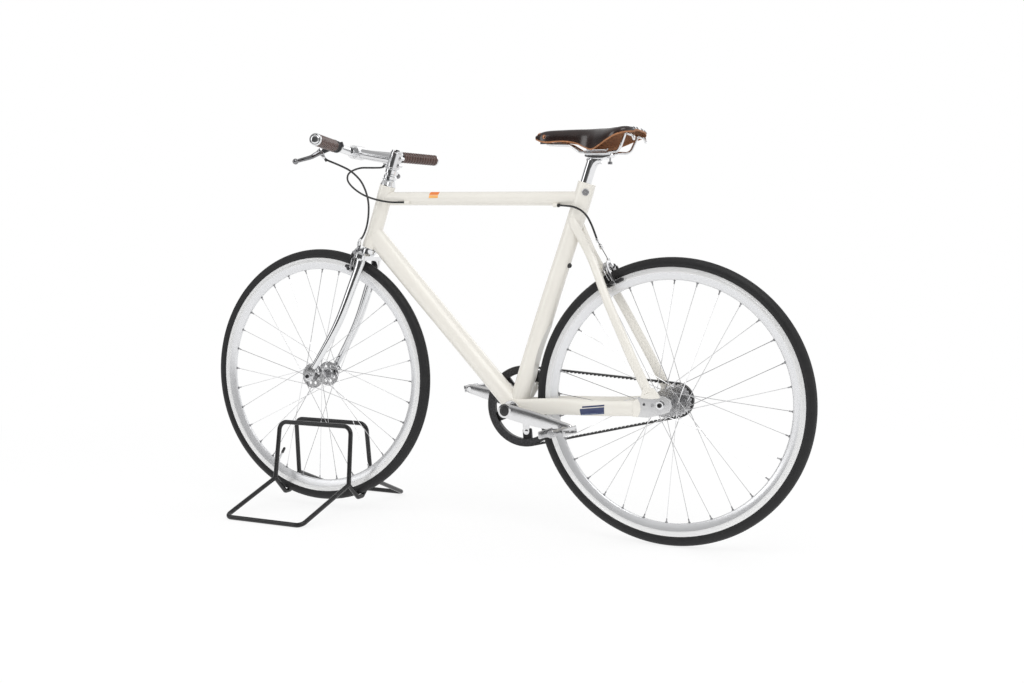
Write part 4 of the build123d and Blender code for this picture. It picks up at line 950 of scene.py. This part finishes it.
spokes = {"count": 32, "crossing": 67.5, "holes": 28.5, "rimInner": 285.4, "flangeHalf": 2.5, "gaps": (1.7, 0.4),
          "rimSpread": 1.4, "headOff": 2.2, "bendOff": 1.2, "hubSteps": (0.5, 3, 120), "rimStep": 60,
          "eyelet": (1.9, 3.6, -0.2, 0.7), "eyeletIn": 0.4, "thick": [1.0, 1.0, 1.0, 1.0, 0.78, 0.78, 1.0],
          "head": [(0, -0.9), (1.5, -0.9), (1.9, -0.2), (1.9, 0.3), (0, 0.4)],
          "nipple": [(1.05, 9.5), (1.4, 9.5), (1.6, 8.8), (1.6, 3.6), (2.1, 3.0), (2.1, 0), (1.05, 0)]}
valve = {"stem": [(0, 0), (3.0, 0), (3.0, 30), (2.6, 31), (2.6, 33), (0, 33)],
         "cap": [(3.1, 29), (3.8, 29.4), (3.8, 42), (3.0, 45.4), (0, 46)], "nut": (3.0, 5.6, 0, 2.6), "foot": 287,
         "nutFoot": 286}
wheels = {"front": {"space": frontSpace, "left": 35.0, "right": 35.0, "body": "front_wheel", "valve": -60.8},
          "rear": {"space": bikeSpace, "left": 33.0, "right": 25.0, "body": "rear_wheel", "valve": -6.0}}


def spokeLines(left, right):
    # hub end, rim end, side it leans to and flange of each spoke
    lines = []
    for number, (side, flange) in enumerate(((1, left), (-1, right))):
        for k in range(spokes["count"] // 2):
            lead = 1 if k % 2 else -1
            rimTurn = math.radians(360 / spokes["count"] * (2 * k + number))
            hubTurn = rimTurn + math.radians(lead * spokes["crossing"])
            gap = spokes["gaps"][0 if lead > 0 else 1]
            hubEnd = around(spokes["holes"], hubTurn, side * (flange + lead * (spokes["flangeHalf"] + gap)))
            rimEnd = around(spokes["rimInner"], rimTurn, side * lead * spokes["rimSpread"])
            lines.append((hubEnd, rimEnd, side * lead, side * flange))
    return lines


def buildWheel(which):
    made = wheels[which]
    space = made["space"]
    buildPiece(which + "_tyre_tread", space, [(tyreMesh(), "tyre")], made["body"], [which + "_tyre"],
               sharp=30)
    rimParts = [(rimMesh(), which + "Rim")]
    spokeParts, nippleParts = [], []
    for hubEnd, rimEnd, way, flange in spokeLines(made["left"], made["right"]):
        along = (rimEnd - hubEnd).normalized()
        head = Vector((hubEnd.x, flange - way * spokes["headOff"], hubEnd.z))
        bend = [head, Vector((hubEnd.x, hubEnd.y - way * spokes["bendOff"], hubEnd.z)),
                *(hubEnd + along * step for step in spokes["hubSteps"]), rimEnd - along * spokes["rimStep"], rimEnd]
        spokeParts.append((sweep(bend, spokes["thick"], sides=7), "steel"))
        spokeParts.append(turned(spokes["head"], 10, "steel", head, (0, way, 0)))
        nippleParts.append(turned(spokes["nipple"], 10, "darkMetal", rimEnd, -along))
        out = Vector((rimEnd.x, 0, rimEnd.z)).normalized()
        eyelet = washer(*spokes["eyelet"], 14)
        rimParts.append((eyelet, "darkMetal", toward(rimEnd - out * spokes["eyeletIn"], -out)))
    buildPiece(which + "_rim_box", space, rimParts, made["body"], [which + "_rim"], sharp=34)
    out = around(1, math.radians(made["valve"]))
    nippleParts += [turned(valve["stem"], 18, "chrome", out * valve["foot"], -out),
                    turned(valve["cap"], 18, "blackPlastic", out * valve["foot"], -out),
                    (washer(*valve["nut"], 6), "chrome", toward(out * valve["nutFoot"], -out))]
    buildPiece(which + "_spoke_lines", space, spokeParts, made["body"], [which + "_spokes"])
    buildPiece(which + "_nipples", space, nippleParts, made["body"])


# washers are (hole, radius, from, to) along the axle; bolts are (radius, height, distance out)
hubTrim = {"bearingCap": (5.0, 10.5, 44.2, 49.6), "flangeRing": (13.0, 15.4, 30.0, 33.2),
           "frontBolt": (5.4, 2.6, 62.8), "frontWasher": (5.0, 10.2, 56.0, 57.2),
           "rearBolt": (5.4, 2.8, 80.2), "rearWasher": (5.0, 11.5, 73.5, 75.0),
           "blank": [(0, 0), (4.4, 0), (4.2, 0.5), (0, 0.5)], "blankAt": (19, 73.5, -1.8)}


def axleEnd(side, boltSize, washerSize):
    radius, height, out = boltSize
    return [bolted(radius, height, "blackAlloy", (0, side * out, 0), (0, side, 0), 24),
            (washer(*washerSize, 36), "steel", toward(origin, (0, side, 0)))]


def buildHubTrim():
    rings, front, rear = [], [], []
    x, y, z = hubTrim["blankAt"]
    for side in (1, -1):
        way = toward(origin, (0, side, 0))
        rings += [(washer(*hubTrim["bearingCap"], 36), "blackAlloy", way),
                  (washer(*hubTrim["flangeRing"], 40), "chrome", way)]
        front += axleEnd(side, hubTrim["frontBolt"], hubTrim["frontWasher"])
        rear += axleEnd(side, hubTrim["rearBolt"], hubTrim["rearWasher"])
        rear.append(turned(hubTrim["blank"], 22, "castAlloy", (x, side * y, z), (0, side, 0)))
    buildPiece("front_hub_rings", frontSpace, rings, "front_wheel")
    buildPiece("front_axle_trim", frontSpace, front, "fork")
    buildPiece("rear_axle_trim", bikeSpace, rear, "frame")


for which in wheels:
    buildWheel(which)
buildHubTrim()
print("wheels built")

belt = {"front": Vector((bike["bbX"], 0, bike["bbZ"])), "rear": Vector(origin), "frontRadius": 100.27,
        "rearRadius": 40.11, "frontTeeth": 60, "rearTeeth": 24, "half": 6.0, "pitch": 10.5, "runSteps": 20,
        "toothDeep": 2.7, "toothWide": 5.5, "toothInset": 0.15}
beltHalf, toothHalf, toothDeep = belt["half"], belt["toothWide"] / 2, belt["toothDeep"]
# section of (Y, distance outward) and a tooth's outline of (distance along, distance inward)
beltSection = [(-beltHalf, -0.8), (-beltHalf, 1.9), (-beltHalf + 0.5, 2.5), (beltHalf - 0.5, 2.5), (beltHalf, 1.9),
               (beltHalf, -0.8)]
toothShape = [(-toothHalf, 0.5), (-toothHalf * 0.92, 0.8 + toothDeep * 0.4),
              (-toothHalf * 0.62, 0.8 + toothDeep * 0.85), (-toothHalf * 0.3, 0.8 + toothDeep)]
toothShape += [(-t, drop) for t, drop in reversed(toothShape)]


def beltDirections():
    # outward directions of the upper and lower runs
    gap = belt["rear"] - belt["front"]
    u = gap / gap.length
    v = Vector((-u.z, 0, u.x))
    if v.z < 0:
        v.negate()
    spreadTurn = math.asin((belt["frontRadius"] - belt["rearRadius"]) / gap.length)
    return [u * math.sin(spreadTurn) + v * math.cos(spreadTurn) * sign for sign in (1, -1)]


def beltLine(upper, lower, angleUp, angleLow):
    # points on the pitch line with their outward directions, once round
    front, rear = (belt["front"], belt["frontRadius"]), (belt["rear"], belt["rearRadius"])
    line = []

    def addArc(centre, radius, start, turn, steps):
        for k in range(steps + 1):
            way = around(1, start + turn * k / steps)
            line.append((centre + way * radius, way))

    def addRun(begin, end, way):
        for k in range(1, belt["runSteps"]):
            share = k / belt["runSteps"]
            radius = begin[1] + (end[1] - begin[1]) * k / belt["runSteps"]
            line.append((begin[0].lerp(end[0], share) + way * radius, way))

    addArc(*front, angleUp, angleLow - angleUp, 60)
    addRun(front, rear, lower)
    addArc(*rear, angleLow, -(2 * math.pi - (angleUp - angleLow)), 40)
    addRun(rear, front, upper)
    return line


def toothSeats(upper, lower, angleUp, angleLow):
    # teeth on a sprocket sit in its grooves, the rest are shared out along the free runs
    seats = []
    for end, wraps in (("front", True), ("rear", False)):
        for k in range(belt[end + "Teeth"]):
            a = 2 * math.pi * k / belt[end + "Teeth"]
            inside = angleLow < (a if a <= math.pi else a - 2 * math.pi) < angleUp
            if inside == wraps:
                seats.append((belt[end] + around(1, a) * belt[end + "Radius"], around(1, a)))
    for way in (upper, lower):
        start = belt["front"] + way * belt["frontRadius"]
        end = belt["rear"] + way * belt["rearRadius"]
        along = (end - start).normalized()
        ahead = [(p - start).dot(along) for p, w in seats if w.dot(way) > 0.98 and (p - start).length < 20]
        behind = [(p - start).dot(along) for p, w in seats if w.dot(way) > 0.9 and (p - end).length < 20]
        first, last = max(ahead), min(behind)
        count = round((last - first) / belt["pitch"])
        seats += [(start + along * (first + (last - first) * k / count), way) for k in range(1, count)]
    return seats


def buildBelt():
    upper, lower = beltDirections()
    run = upper, lower, math.atan2(upper.z, upper.x), math.atan2(lower.z, lower.x)
    line = beltLine(*run)
    points = [at + way * off + Vector((0, y, 0)) for at, way in line for y, off in beltSection]
    faces = gridFaces(len(line), len(beltSection), closed=True)
    teeth, toothFaces = [], []
    count = len(toothShape)
    for at, way in toothSeats(*run):
        along = Vector((-way.z, 0, way.x))
        base = len(teeth)
        for y in (-beltHalf + belt["toothInset"], beltHalf - belt["toothInset"]):
            teeth += [at + along * t - way * drop + Vector((0, y, 0)) for t, drop in toothShape]
        toothFaces.append(list(range(base, base + count)))
        toothFaces.append(list(range(base + 2 * count - 1, base + count - 1, -1)))
        toothFaces += [[base + p for p in face] for face in gridFaces(2, count)]
    space = bikeSpace @ Matrix.Translation((0, bike["beltY"], 0))
    buildPiece("belt_toothed", space, [((points, faces), "beltRubber"), ((teeth, toothFaces), "beltRubber")], "frame",
               ["belt"], sharp=30)


crank = {"stations": [(-16, 8, 5.4), (-13, 12.4, 6.2), (-8, 15.9, 6.5), (0, 17.4, 6.5), (18, 17.9, 6.5),
                      (40, 18.4, 6.5), (62, 18.5, 6.5), (90, 17.6, 6.4), (120, 15.6, 6.2), (150, 13.4, 6.0),
                      (165, 12.6, 5.9), (174, 11.2, 5.8), (179, 8.2, 5.6), (181.6, 4.6, 5.0)],  # along, half sizes
         "middle": 66.5,
         "boss": [(12.1, 58), (16.8, 58), (17.5, 58.7), (17.5, 72.2), (16.9, 73), (12.6, 73.2), (12.1, 72.6)],
         "cap": [(0, 74.6), (9.8, 74.6), (11.3, 73.9), (11.5, 72.8), (0, 72.8)],
         "capRing": [(0, 74.4), (3.0, 74.4), (3.4, 75.0), (5.6, 75.0), (6.0, 74.4)],
         "eye": (4.6, 7.2, 72.4, 73.4), "eyeFill": [(0, 73.15), (4.6, 73.15), (4.6, 72.0), (0, 72.0)]}
armWay = around(1, math.radians(bike["crankAngle"]))
armTip = armWay * bike["crankLength"]
arms = {"left": crankSpace, "right": crankSpace @ flip @ Matrix.Rotation(math.pi, 4, "Y")}


def buildCrank(side):
    rows = curvePoints(crank["stations"], 4)
    line = [armWay * row.x + Vector((0, crank["middle"], 0)) for row in rows]
    arm = sweep(line, [row.y for row in rows], [row.z for row in rows], 36, alongY, 0.8)
    atTip = Matrix.Translation(armTip)
    parts = [(arm, "crankAlloy"),
             (lathe(crank["boss"], 48, True), "alloy"),
             (lathe(crank["cap"], 36), "blackPlastic"),
             (lathe(crank["capRing"], 24), "blackAlloy"),
             (washer(*crank["eye"], 28), "chrome", atTip),
             (lathe(crank["eyeFill"], 24), "blackAlloy", atTip)]
    buildPiece("crank_" + side + "_arm", arms[side], parts, "crank", ["crank_arm_" + side],
               sharp=40)


# the cage's teeth are (share of the pitch, drop from the top)
pedal = {"out": 89, "tilt": 10, "cageLength": 80, "cageHalf": 9, "teeth": 11, "valley": 2.2,
         "tooth": [(0, 2.2), (0.18, 0), (0.5, 0.4), (0.68, 2.2)], "plateX": 30.6, "plateStart": 2, "plateHalf": 1.4,
         "barrel": [(5.2, 1), (8.2, 1), (8.6, 3), (8.6, 12), (7.4, 16), (7.4, 66), (8.6, 70), (9.0, 76), (9.0, 82),
                    (7.8, 83.6), (0, 84)], "collar": (5.1, 7.8, -6.5, 0.8),
         "tie": [(5, -6.6), (18, -5.2), (30.8, -6.2), (30.8, 6.2), (18, 5.2), (5, 6.6)],
         "ties": ((2.5, 6.5), (77.5, 82.5)), "screwX": 32.0, "screws": (8, 42, 76)}


def cageSide():
    # side plate of the cage with a gripping edge, outline of (Y, Z)
    half, step = pedal["cageHalf"], pedal["cageLength"] / pedal["teeth"]
    top = [(k * step + step * share, half - drop) for k in range(pedal["teeth"]) for share, drop in pedal["tooth"]]
    top.append((pedal["cageLength"], half - pedal["valley"]))
    return top + [(y, -z) for y, z in reversed(top)]


def buildPedal(side):
    space = (arms[side] @ Matrix.Translation(armTip + Vector((0, pedal["out"], 0)))
             @ Matrix.Rotation(math.radians(pedal["tilt"]), 4, "Y"))
    parts = [(lathe(pedal["barrel"], 32), "castAlloy"),
             (washer(*pedal["collar"], 6), "chrome")]
    sidePlate = plate(cageSide(), -pedal["plateHalf"], pedal["plateHalf"], 0.35, 1)
    for way in (1, -1):
        stand = Matrix.Translation((way * pedal["plateX"], pedal["plateStart"], 0)) @ swapXY
        parts.append((sidePlate, "alloy", stand))
        # bars that tie the cage to the barrel
        for low, high in pedal["ties"]:
            parts.append((plate([(way * x, z) for x, z in pedal["tie"]], low, high, 0.7), "castAlloy"))
        for y in pedal["screws"]:
            parts.append(bolted(2.4, 1.5, "steel", (way * pedal["screwX"], y, 0), (way, 0, 0), 14))
    buildPiece("pedal_" + side + "_cage", space, parts, "pedal_" + side, ["pedal_" + side],
               sharp=36)


driveTrim = {"boltCircle": 64, "bolts": 5, "firstBolt": 48, "boltY": (-6, 5),
             "nut": [(0, 1.4), (4.0, 1.4), (5.4, 0.8), (5.6, 0), (0, 0)],
             "cupNotches": 48, "cupRadii": (21.4, 20.2), "cup": (34.6, 37.3), "lockRadius": 15.0, "lock": (8.2, 6.0)}


def buildDriveTrim():
    parts = []
    for k in range(driveTrim["bolts"]):
        turn = math.radians(driveTrim["firstBolt"] + 360 / driveTrim["bolts"] * k)
        outside, inside = [around(driveTrim["boltCircle"], turn, bike["beltY"] + y) for y in driveTrim["boltY"]]
        parts.append(bolted(5.2, 1.9, "chrome", outside, (0, -1, 0), 24))
        parts.append(turned(driveTrim["nut"], 24, "chrome", inside))
    buildPiece("chainring_bolts", crankSpace, parts, "crank")
    # bottom bracket cups with a notched edge
    count, (tall, short) = driveTrim["cupNotches"], driveTrim["cupRadii"]
    notches = [tuple(around(tall if k % 6 < 4 else short, 2 * math.pi * k / count).xz) for k in range(count)]
    cups = [(plate(notches, *driveTrim["cup"], 0.3, 1), "alloy", turn) for turn in (identity, flip)]
    buildPiece("cup_notches", crankSpace, cups, "frame")
    low, high = [bike["beltY"] - y for y in driveTrim["lock"]]
    lock = plate(ring(driveTrim["lockRadius"], 16), low, high, 0.5)
    buildPiece("rear_lockring", bikeSpace, [(lock, "blackAlloy")], "rear_sprocket")


buildBelt()
for side in arms:
    buildCrank(side)
    buildPedal(side)
buildDriveTrim()
print("drive built")

# corners of (x, z) in order: rear low, front low, front high, rear high
patches = [("top_tube", [(625, 482.4), (651, 482.4), (651, 490.2), (625, 490.2)], (16, 8), "orange"),
           ("top_tube", [(625, 474.4), (651, 474.4), (651, 481.4), (625, 481.4)], (16, 6), "paleOrange"),
           ("chainstays", [(142, -33), (207, -43.0), (208.6, -27.5), (142, -16.5)], (24, 8), "navy"),
           ("chainstays", [(142, -14.6), (202, -24.4), (202, -20.6), (142, -10.8)], (24, 3), "navy"),
           ("chainstays", [(145, -32.0), (204, -41.2), (204, -40.2), (145, -31.0)], (24, 1), "paleBlue")]
patchLayers = (0.28, -0.6)  # above and below the paint
flankY, nearY = 120, 17  # where the rays start, and a point near the tube for a miss
badge = {"disc": [(0, 0.9), (6.6, 0.9), (7.2, 1.5), (8.3, 1.6), (8.9, 1.0), (8.9, -3.0), (0, -3.0)],
         "centre": [(0, 1.3), (2.4, 1.3), (2.8, 0.8), (2.8, 0.4), (0, 0.4)], "from": (221.9, 120, 487.9)}
clip = {"profile": [(0, 2.6), (2.4, 2.6), (2.8, 4.2), (4.4, 4.6), (5.4, 3.6), (5.6, 0.8), (6.6, 0.2), (6.6, -1.5),
                    (0, -1.5)], "from": (200, 3, 312.6)}
cableEnds = {"ferrule": [(2.55, -1), (3.4, -1), (3.6, 0), (3.6, 7), (3.2, 8), (2.55, 8)],
             "stop": [(2.6, 12.6), (4.2, 12.6), (4.6, 11.4), (4.6, 8.8), (2.6, 8.8)],
             "stopLine": [(302, 12, 457), (275, 21, 456)],
             "barrel": [(1.2, -9), (2.6, -9), (2.8, -5), (4.2, -4), (4.5, -2), (4.5, 7), (4.1, 8), (1.2, 8)],
             "barrelAt": (184.2, 5.0, 360), "barrelWay": (-1, -61, -40),
             "rearAt": (186.6, 25.2, 376.5), "rearWay": (-7, -1, -18),
             "frontAt": Vector((18, 30, 388)) + Vector((-2, 0.6, 6)), "frontWay": (8, -2, -17)}


def shell(name):
    node = nodes[name]
    return BVHTree.FromPolygons([node.matrix_world @ v.co for v in node.data.vertices],
                                [list(p.vertices) for p in node.data.polygons])


def sticker(nodeName, corners, rows, look):
    # thin sheet laid on the node's left flank
    tree = shell(nodeName)
    across, up = rows
    points, faces = [], []
    inward = -(bikeSpace.to_3x3() @ Vector(alongY)).normalized()
    rearLow, frontLow, frontHigh, rearHigh = [Vector(corner) for corner in corners]
    for layer in patchLayers:
        for i in range(up + 1):
            for k in range(across + 1):
                at = rearLow.lerp(frontLow, k / across).lerp(rearHigh.lerp(frontHigh, k / across), i / up)
                hit, normal = tree.ray_cast(bikeSpace @ Vector((at.x, flankY, at.y)), inward)[:2]
                if hit is None:
                    hit, normal = tree.find_nearest(bikeSpace @ Vector((at.x, nearY, at.y)))[:2]
                points.append(hit + normal * (layer / 1000))
    row, size = across + 1, (across + 1) * (up + 1)
    for i in range(up):
        for k in range(across):
            a = i * row + k
            faces += [[a, a + 1, a + row + 1, a + row], [size + a, size + a + row, size + a + row + 1, size + a + 1]]
    edge = [k for k in range(row)] + [i * row + across for i in range(1, up + 1)]
    edge += [up * row + k for k in range(across - 1, -1, -1)] + [i * row for i in range(up - 1, 0, -1)]
    for a, b in zip(edge, edge[1:] + edge[:1]):
        faces.append([a, b, size + b, size + a])
    return (points, faces), look


def buildFrameTrim():
    buildPiece("frame_patches", identity, [sticker(*patch) for patch in patches], "frame", sharp=60)
    tree = shell("seat_tube")
    hit, normal = tree.ray_cast(bikeSpace @ Vector(badge["from"]), Vector((0, -1, 0)))[:2]
    parts = [(lathe(badge["disc"], 40), "alloy", toward(hit, normal) @ metres),
             (lathe(badge["centre"], 24), "castAlloy", toward(hit, normal) @ metres)]
    # clip on the back of the seat tube
    ahead = (bikeSpace.to_3x3() @ Vector(alongX)).normalized()
    hit, normal = tree.ray_cast(bikeSpace @ Vector(clip["from"]), ahead)[:2]
    parts.append((lathe(clip["profile"], 28), "blackPlastic", toward(hit, normal) @ metres))
    buildPiece("frame_trim", identity, parts, "frame")
    ends = cableEnds
    start, after = [Vector(p) for p in ends["stopLine"]]
    parts = [turned(ends["stop"], 20, "blackPlastic", start, after - start, True),
             turned(ends["barrel"], 14, "alloy", ends["barrelAt"], ends["barrelWay"], True),
             turned(ends["ferrule"], 18, "chrome", ends["rearAt"], ends["rearWay"], True)]
    buildPiece("rear_cable_ends", bikeSpace, parts, "frame")
    buildPiece("front_cable_end", forkSpace, [turned(ends["ferrule"], 18, "chrome", ends["frontAt"], ends["frontWay"],
                                          True)], "fork")


# loop from the right lever to the top tube, in the steerer's space
loop = {"radius": 2.5, "leverEnd": (118, -148, 580), "tubeEnd": (-70, 18, 521),
        "route": [(119, -154, 582), (112, -130, 572), (115, -100, 567), (127, -83, 562), (140, -68, 556),
                  (150, -50, 544), (151, -36, 531), (135, -20, 517), (98, 0, 507), (50, 18, 502), (2, 27, 504),
                  (-36, 27, 510), (-62, 21, 518), (-80, 14, 524)]}


def buildCableLoop():
    line = curvePoints(loop["route"], 8)
    start, end = forkSpace @ Vector(loop["leverEnd"]), forkSpace @ Vector(loop["tubeEnd"])
    buildPiece("rear_cable_loop", forkSpace, [(sweep(line, loop["radius"], sides=14), "housing")],
               ("fork", "frame", tuple(start), tuple(end)), ["rear_brake_cable_front"])


# each plate is its outline of (x, z), inner and outer Y, bevel and how many steps the bevel has
dropout = {"bare": ([(58, -31), (58, 12), (47, 17), (6, 20), (-8, 20), (-22, 13), (-26, -2), (-20, -15), (0, -23),
                     (30, -31)], 67.5, 73.5, 1.0),
           "hood": ([(49, 13), (46, 27), (43, 38), (19, 38), (9, 27), (1, 17), (6, 14.5), (24, 12)], 66.4, 74.6,
                    1.8, 3),
           "toe": ([(66, -31.5), (66, 3), (56, 12), (50, 3), (47, -12), (49, -24), (54, -31.5)], 66.4, 74.4, 1.8, 3),
           "eye": [(0, 73.9), (3.4, 73.9), (3.4, 73.4), (0, 73.4)],
           # hole is a dark disc in the eye: painted shade standing in for the inside of the eyelet's hole
           "hole": [(0, 73.95), (2.5, 73.95), (2.5, 73.4), (0, 73.4)], "eyeAt": (39.5, 0, -1.1)}


def buildDropouts():
    # bare axle plate with the painted end of the stay above it; the eyelet's hole is a dark disc, painted shade for
    # the inside of the hole
    parts = []
    for turn in (identity, flip):
        eye = turn @ Matrix.Translation(dropout["eyeAt"])
        parts += [(plate(*dropout[key]), look, turn)
                  for key, look in (("bare", "plateAlloy"), ("hood", "ivory"), ("toe", "ivory"))]
        parts += [(lathe(dropout["eye"], 22), "darkChrome", eye), (lathe(dropout["hole"], 22), "blackAlloy", eye)]
    buildPiece("dropout_plates", bikeSpace, parts, "frame", ["dropouts"])


forkTrim = {"ring": [(-4.0, 37.3, 347), (-4.0, 37.4, 343.5), (-3.9, 37.5, 341.5)], "wide": [9.7, 9.9, 9.1],
            "deep": [14.2, 14.4, 13.6], "plug": [(0, 0.8), (2.1, 0.8), (2.5, 0.2), (2.5, -1.5), (0, -1.5)],
            "plugAt": (29.5, -42.6, 54.8)}


def buildForkTrim():
    # ring where each blade leaves the crown, and a plug low on the right blade
    parts = [(sweep(mirrored(forkTrim["ring"], side), forkTrim["wide"], forkTrim["deep"], 36, alongY), "chrome")
             for side in (1, -1)]
    parts.append(turned(forkTrim["plug"], 18, "blackPlastic", forkTrim["plugAt"]))
    buildPiece("fork_trim", forkSpace, parts, "fork")


buildFrameTrim()
buildCableLoop()
buildDropouts()
buildForkTrim()
print("frame trim built")

studio = {"floor": (0.97, 0.97, 0.97), "reach": 3.4, "melt": (1.1, 2.6), "glow": (0.8, 1.0), "air": 0.86,
          "toward": (-0.434, 0.901), "overhead": (0.5, 0.5, 0.5), "overheadSpan": (0.3, 0.62),
          # degrees from the viewer's direction and grey of what metal mirrors there
          "walls": [(-65, 0.95), (-38, 0.5), (-5, 0.38), (12, 0.1), (68, 0.06), (74, 1.0), (86, 1.0),
                    (93, 0.12), (118, 0.2), (150, 0.9)],
          # name, place, aim, size and power
          "lamps": [("keyLamp", (-1.6, 1.8, 3.4), (0, 0, 0.4), (2.4, 2.4), 38.0),
                    ("fillLamp", (2.4, 2.2, 1.8), (0, 0, 0.4), (1.2, 2.2), 9.0),
                    ("rimLamp", (-0.4, -2.8, 2.2), (0, 0, 0.5), (3.0, 1.4), 12.0)]}
view = {"place": (-1.31903, 2.5691, 0.6460), "yaw": 25.725, "pitch": 3.566, "roll": 0.267,
        "lens": 40.3681640625, "sensor": 36.0, "clipEnd": 60}


def mixShaders(tree, share, a, b):
    node = tree.nodes.new("ShaderNodeMixShader")
    for value, socket in zip((share, a, b), node.inputs):
        feed(tree, value, socket)
    return node.outputs[0]


def lightNode(tree, kind, strength=None, tone=(1, 1, 1)):
    node = tree.nodes.new(kind)
    feed(tree, tone, node.inputs["Color"])
    if strength is not None:
        node.inputs["Strength"].default_value = strength
    return node.outputs[0]


def emptyTree(owner, outputKind):
    owner.use_nodes = True
    owner.node_tree.nodes.clear()
    return owner.node_tree, owner.node_tree.nodes.new(outputKind).inputs["Surface"]


def buildFloor():
    # white floor; its edge melts into the white around it
    mesh = bpy.data.meshes.new("studioFloor")
    reach = studio["reach"]
    mesh.from_pydata([(-reach, -reach, 0), (reach, -reach, 0), (reach, reach, 0), (-reach, reach, 0)], [],
                     [(0, 1, 2, 3)])
    floor = bpy.data.objects.new("studioFloor", mesh)
    bpy.context.scene.collection.objects.link(floor)
    made = bpy.data.materials.new("studioFloor")
    tree, surface = emptyTree(made, "ShaderNodeOutputMaterial")
    light = tree.nodes.new("ShaderNodeLightPath").outputs
    seen = mathNode(tree, "MAXIMUM", light["Is Camera Ray"], light["Is Glossy Ray"])
    away = tree.nodes.new("ShaderNodeVectorMath")
    away.operation = "LENGTH"
    feed(tree, tree.nodes.new("ShaderNodeNewGeometry").outputs["Position"], away.inputs[0])
    share = mathNode(tree, "MULTIPLY", seen, rangeNode(tree, away.outputs["Value"], studio["melt"], studio["glow"]))
    feed(tree, mixShaders(tree, share, lightNode(tree, "ShaderNodeBsdfDiffuse", tone=studio["floor"]),
                          lightNode(tree, "ShaderNodeEmission", 1.0)), surface)
    mesh.materials.append(made)


def buildAir():
    # white room; what metal mirrors is dark on the viewer's side and greyer overhead
    world = bpy.data.worlds.new("studioAir")
    bpy.context.scene.world = world
    tree, surface = emptyTree(world, "ShaderNodeOutputWorld")
    way = splitNode(tree, tree.nodes.new("ShaderNodeTexCoord").outputs["Generated"])
    high = rangeNode(tree, way["Z"], studio["overheadSpan"])
    x, y = studio["toward"]
    ahead, beside = [mathNode(tree, "ADD", mathNode(tree, "MULTIPLY", way["X"], a),
                              mathNode(tree, "MULTIPLY", way["Y"], b)) for a, b in ((x, y), (y, -x))]
    walls = tree.nodes.new("ShaderNodeValToRGB")
    turn = mathNode(tree, "ARCTAN2", beside, ahead)
    feed(tree, rangeNode(tree, turn, (-math.pi, math.pi)), walls.inputs["Fac"])
    stops = walls.color_ramp.elements
    stops[0].color = stops[-1].color = (1, 1, 1, 1)
    for degrees, tone in studio["walls"]:
        stops.new((degrees + 180) / 360).color = (tone, tone, tone, 1)
    room = mixColour(tree, high, walls.outputs["Color"], studio["overhead"])
    light = tree.nodes.new("ShaderNodeLightPath").outputs
    plain, white = [lightNode(tree, "ShaderNodeBackground", strength) for strength in (studio["air"], 1.0)]
    shiny = mixShaders(tree, light["Is Glossy Ray"], plain, lightNode(tree, "ShaderNodeBackground", 1.0, room))
    feed(tree, mixShaders(tree, light["Is Camera Ray"], shiny, white), surface)


def softLamp(name, place, aim, size, power):
    data = bpy.data.lights.new(name, "AREA")
    data.shape = "RECTANGLE"
    data.size, data.size_y = size
    data.energy = power
    lamp = bpy.data.objects.new(name, data)
    bpy.context.scene.collection.objects.link(lamp)
    lamp.location = place
    lamp.rotation_euler = (Vector(aim) - Vector(place)).to_track_quat("-Z", "Y").to_euler()


def buildCamera():
    data = bpy.data.cameras.new("camera")
    data.sensor_width = view["sensor"]
    data.lens = view["lens"]
    data.clip_end = view["clipEnd"]
    made = bpy.data.objects.new("camera", data)
    bpy.context.scene.collection.objects.link(made)
    yaw, pitch = math.radians(view["yaw"]), math.radians(view["pitch"])
    aim = Vector((math.sin(yaw) * math.cos(pitch), -math.cos(yaw) * math.cos(pitch), -math.sin(pitch)))
    turn = aim.to_track_quat("-Z", "Y").to_matrix().to_4x4()
    made.matrix_world = (Matrix.Translation(view["place"]) @ turn
                         @ Matrix.Rotation(math.radians(view["roll"]), 4, "Z"))
    bpy.context.scene.camera = made


buildFloor()
buildAir()
for lamp in studio["lamps"]:
    softLamp(*lamp)
buildCamera()
bpy.context.scene.view_settings.view_transform = "Standard"
print("studio built")
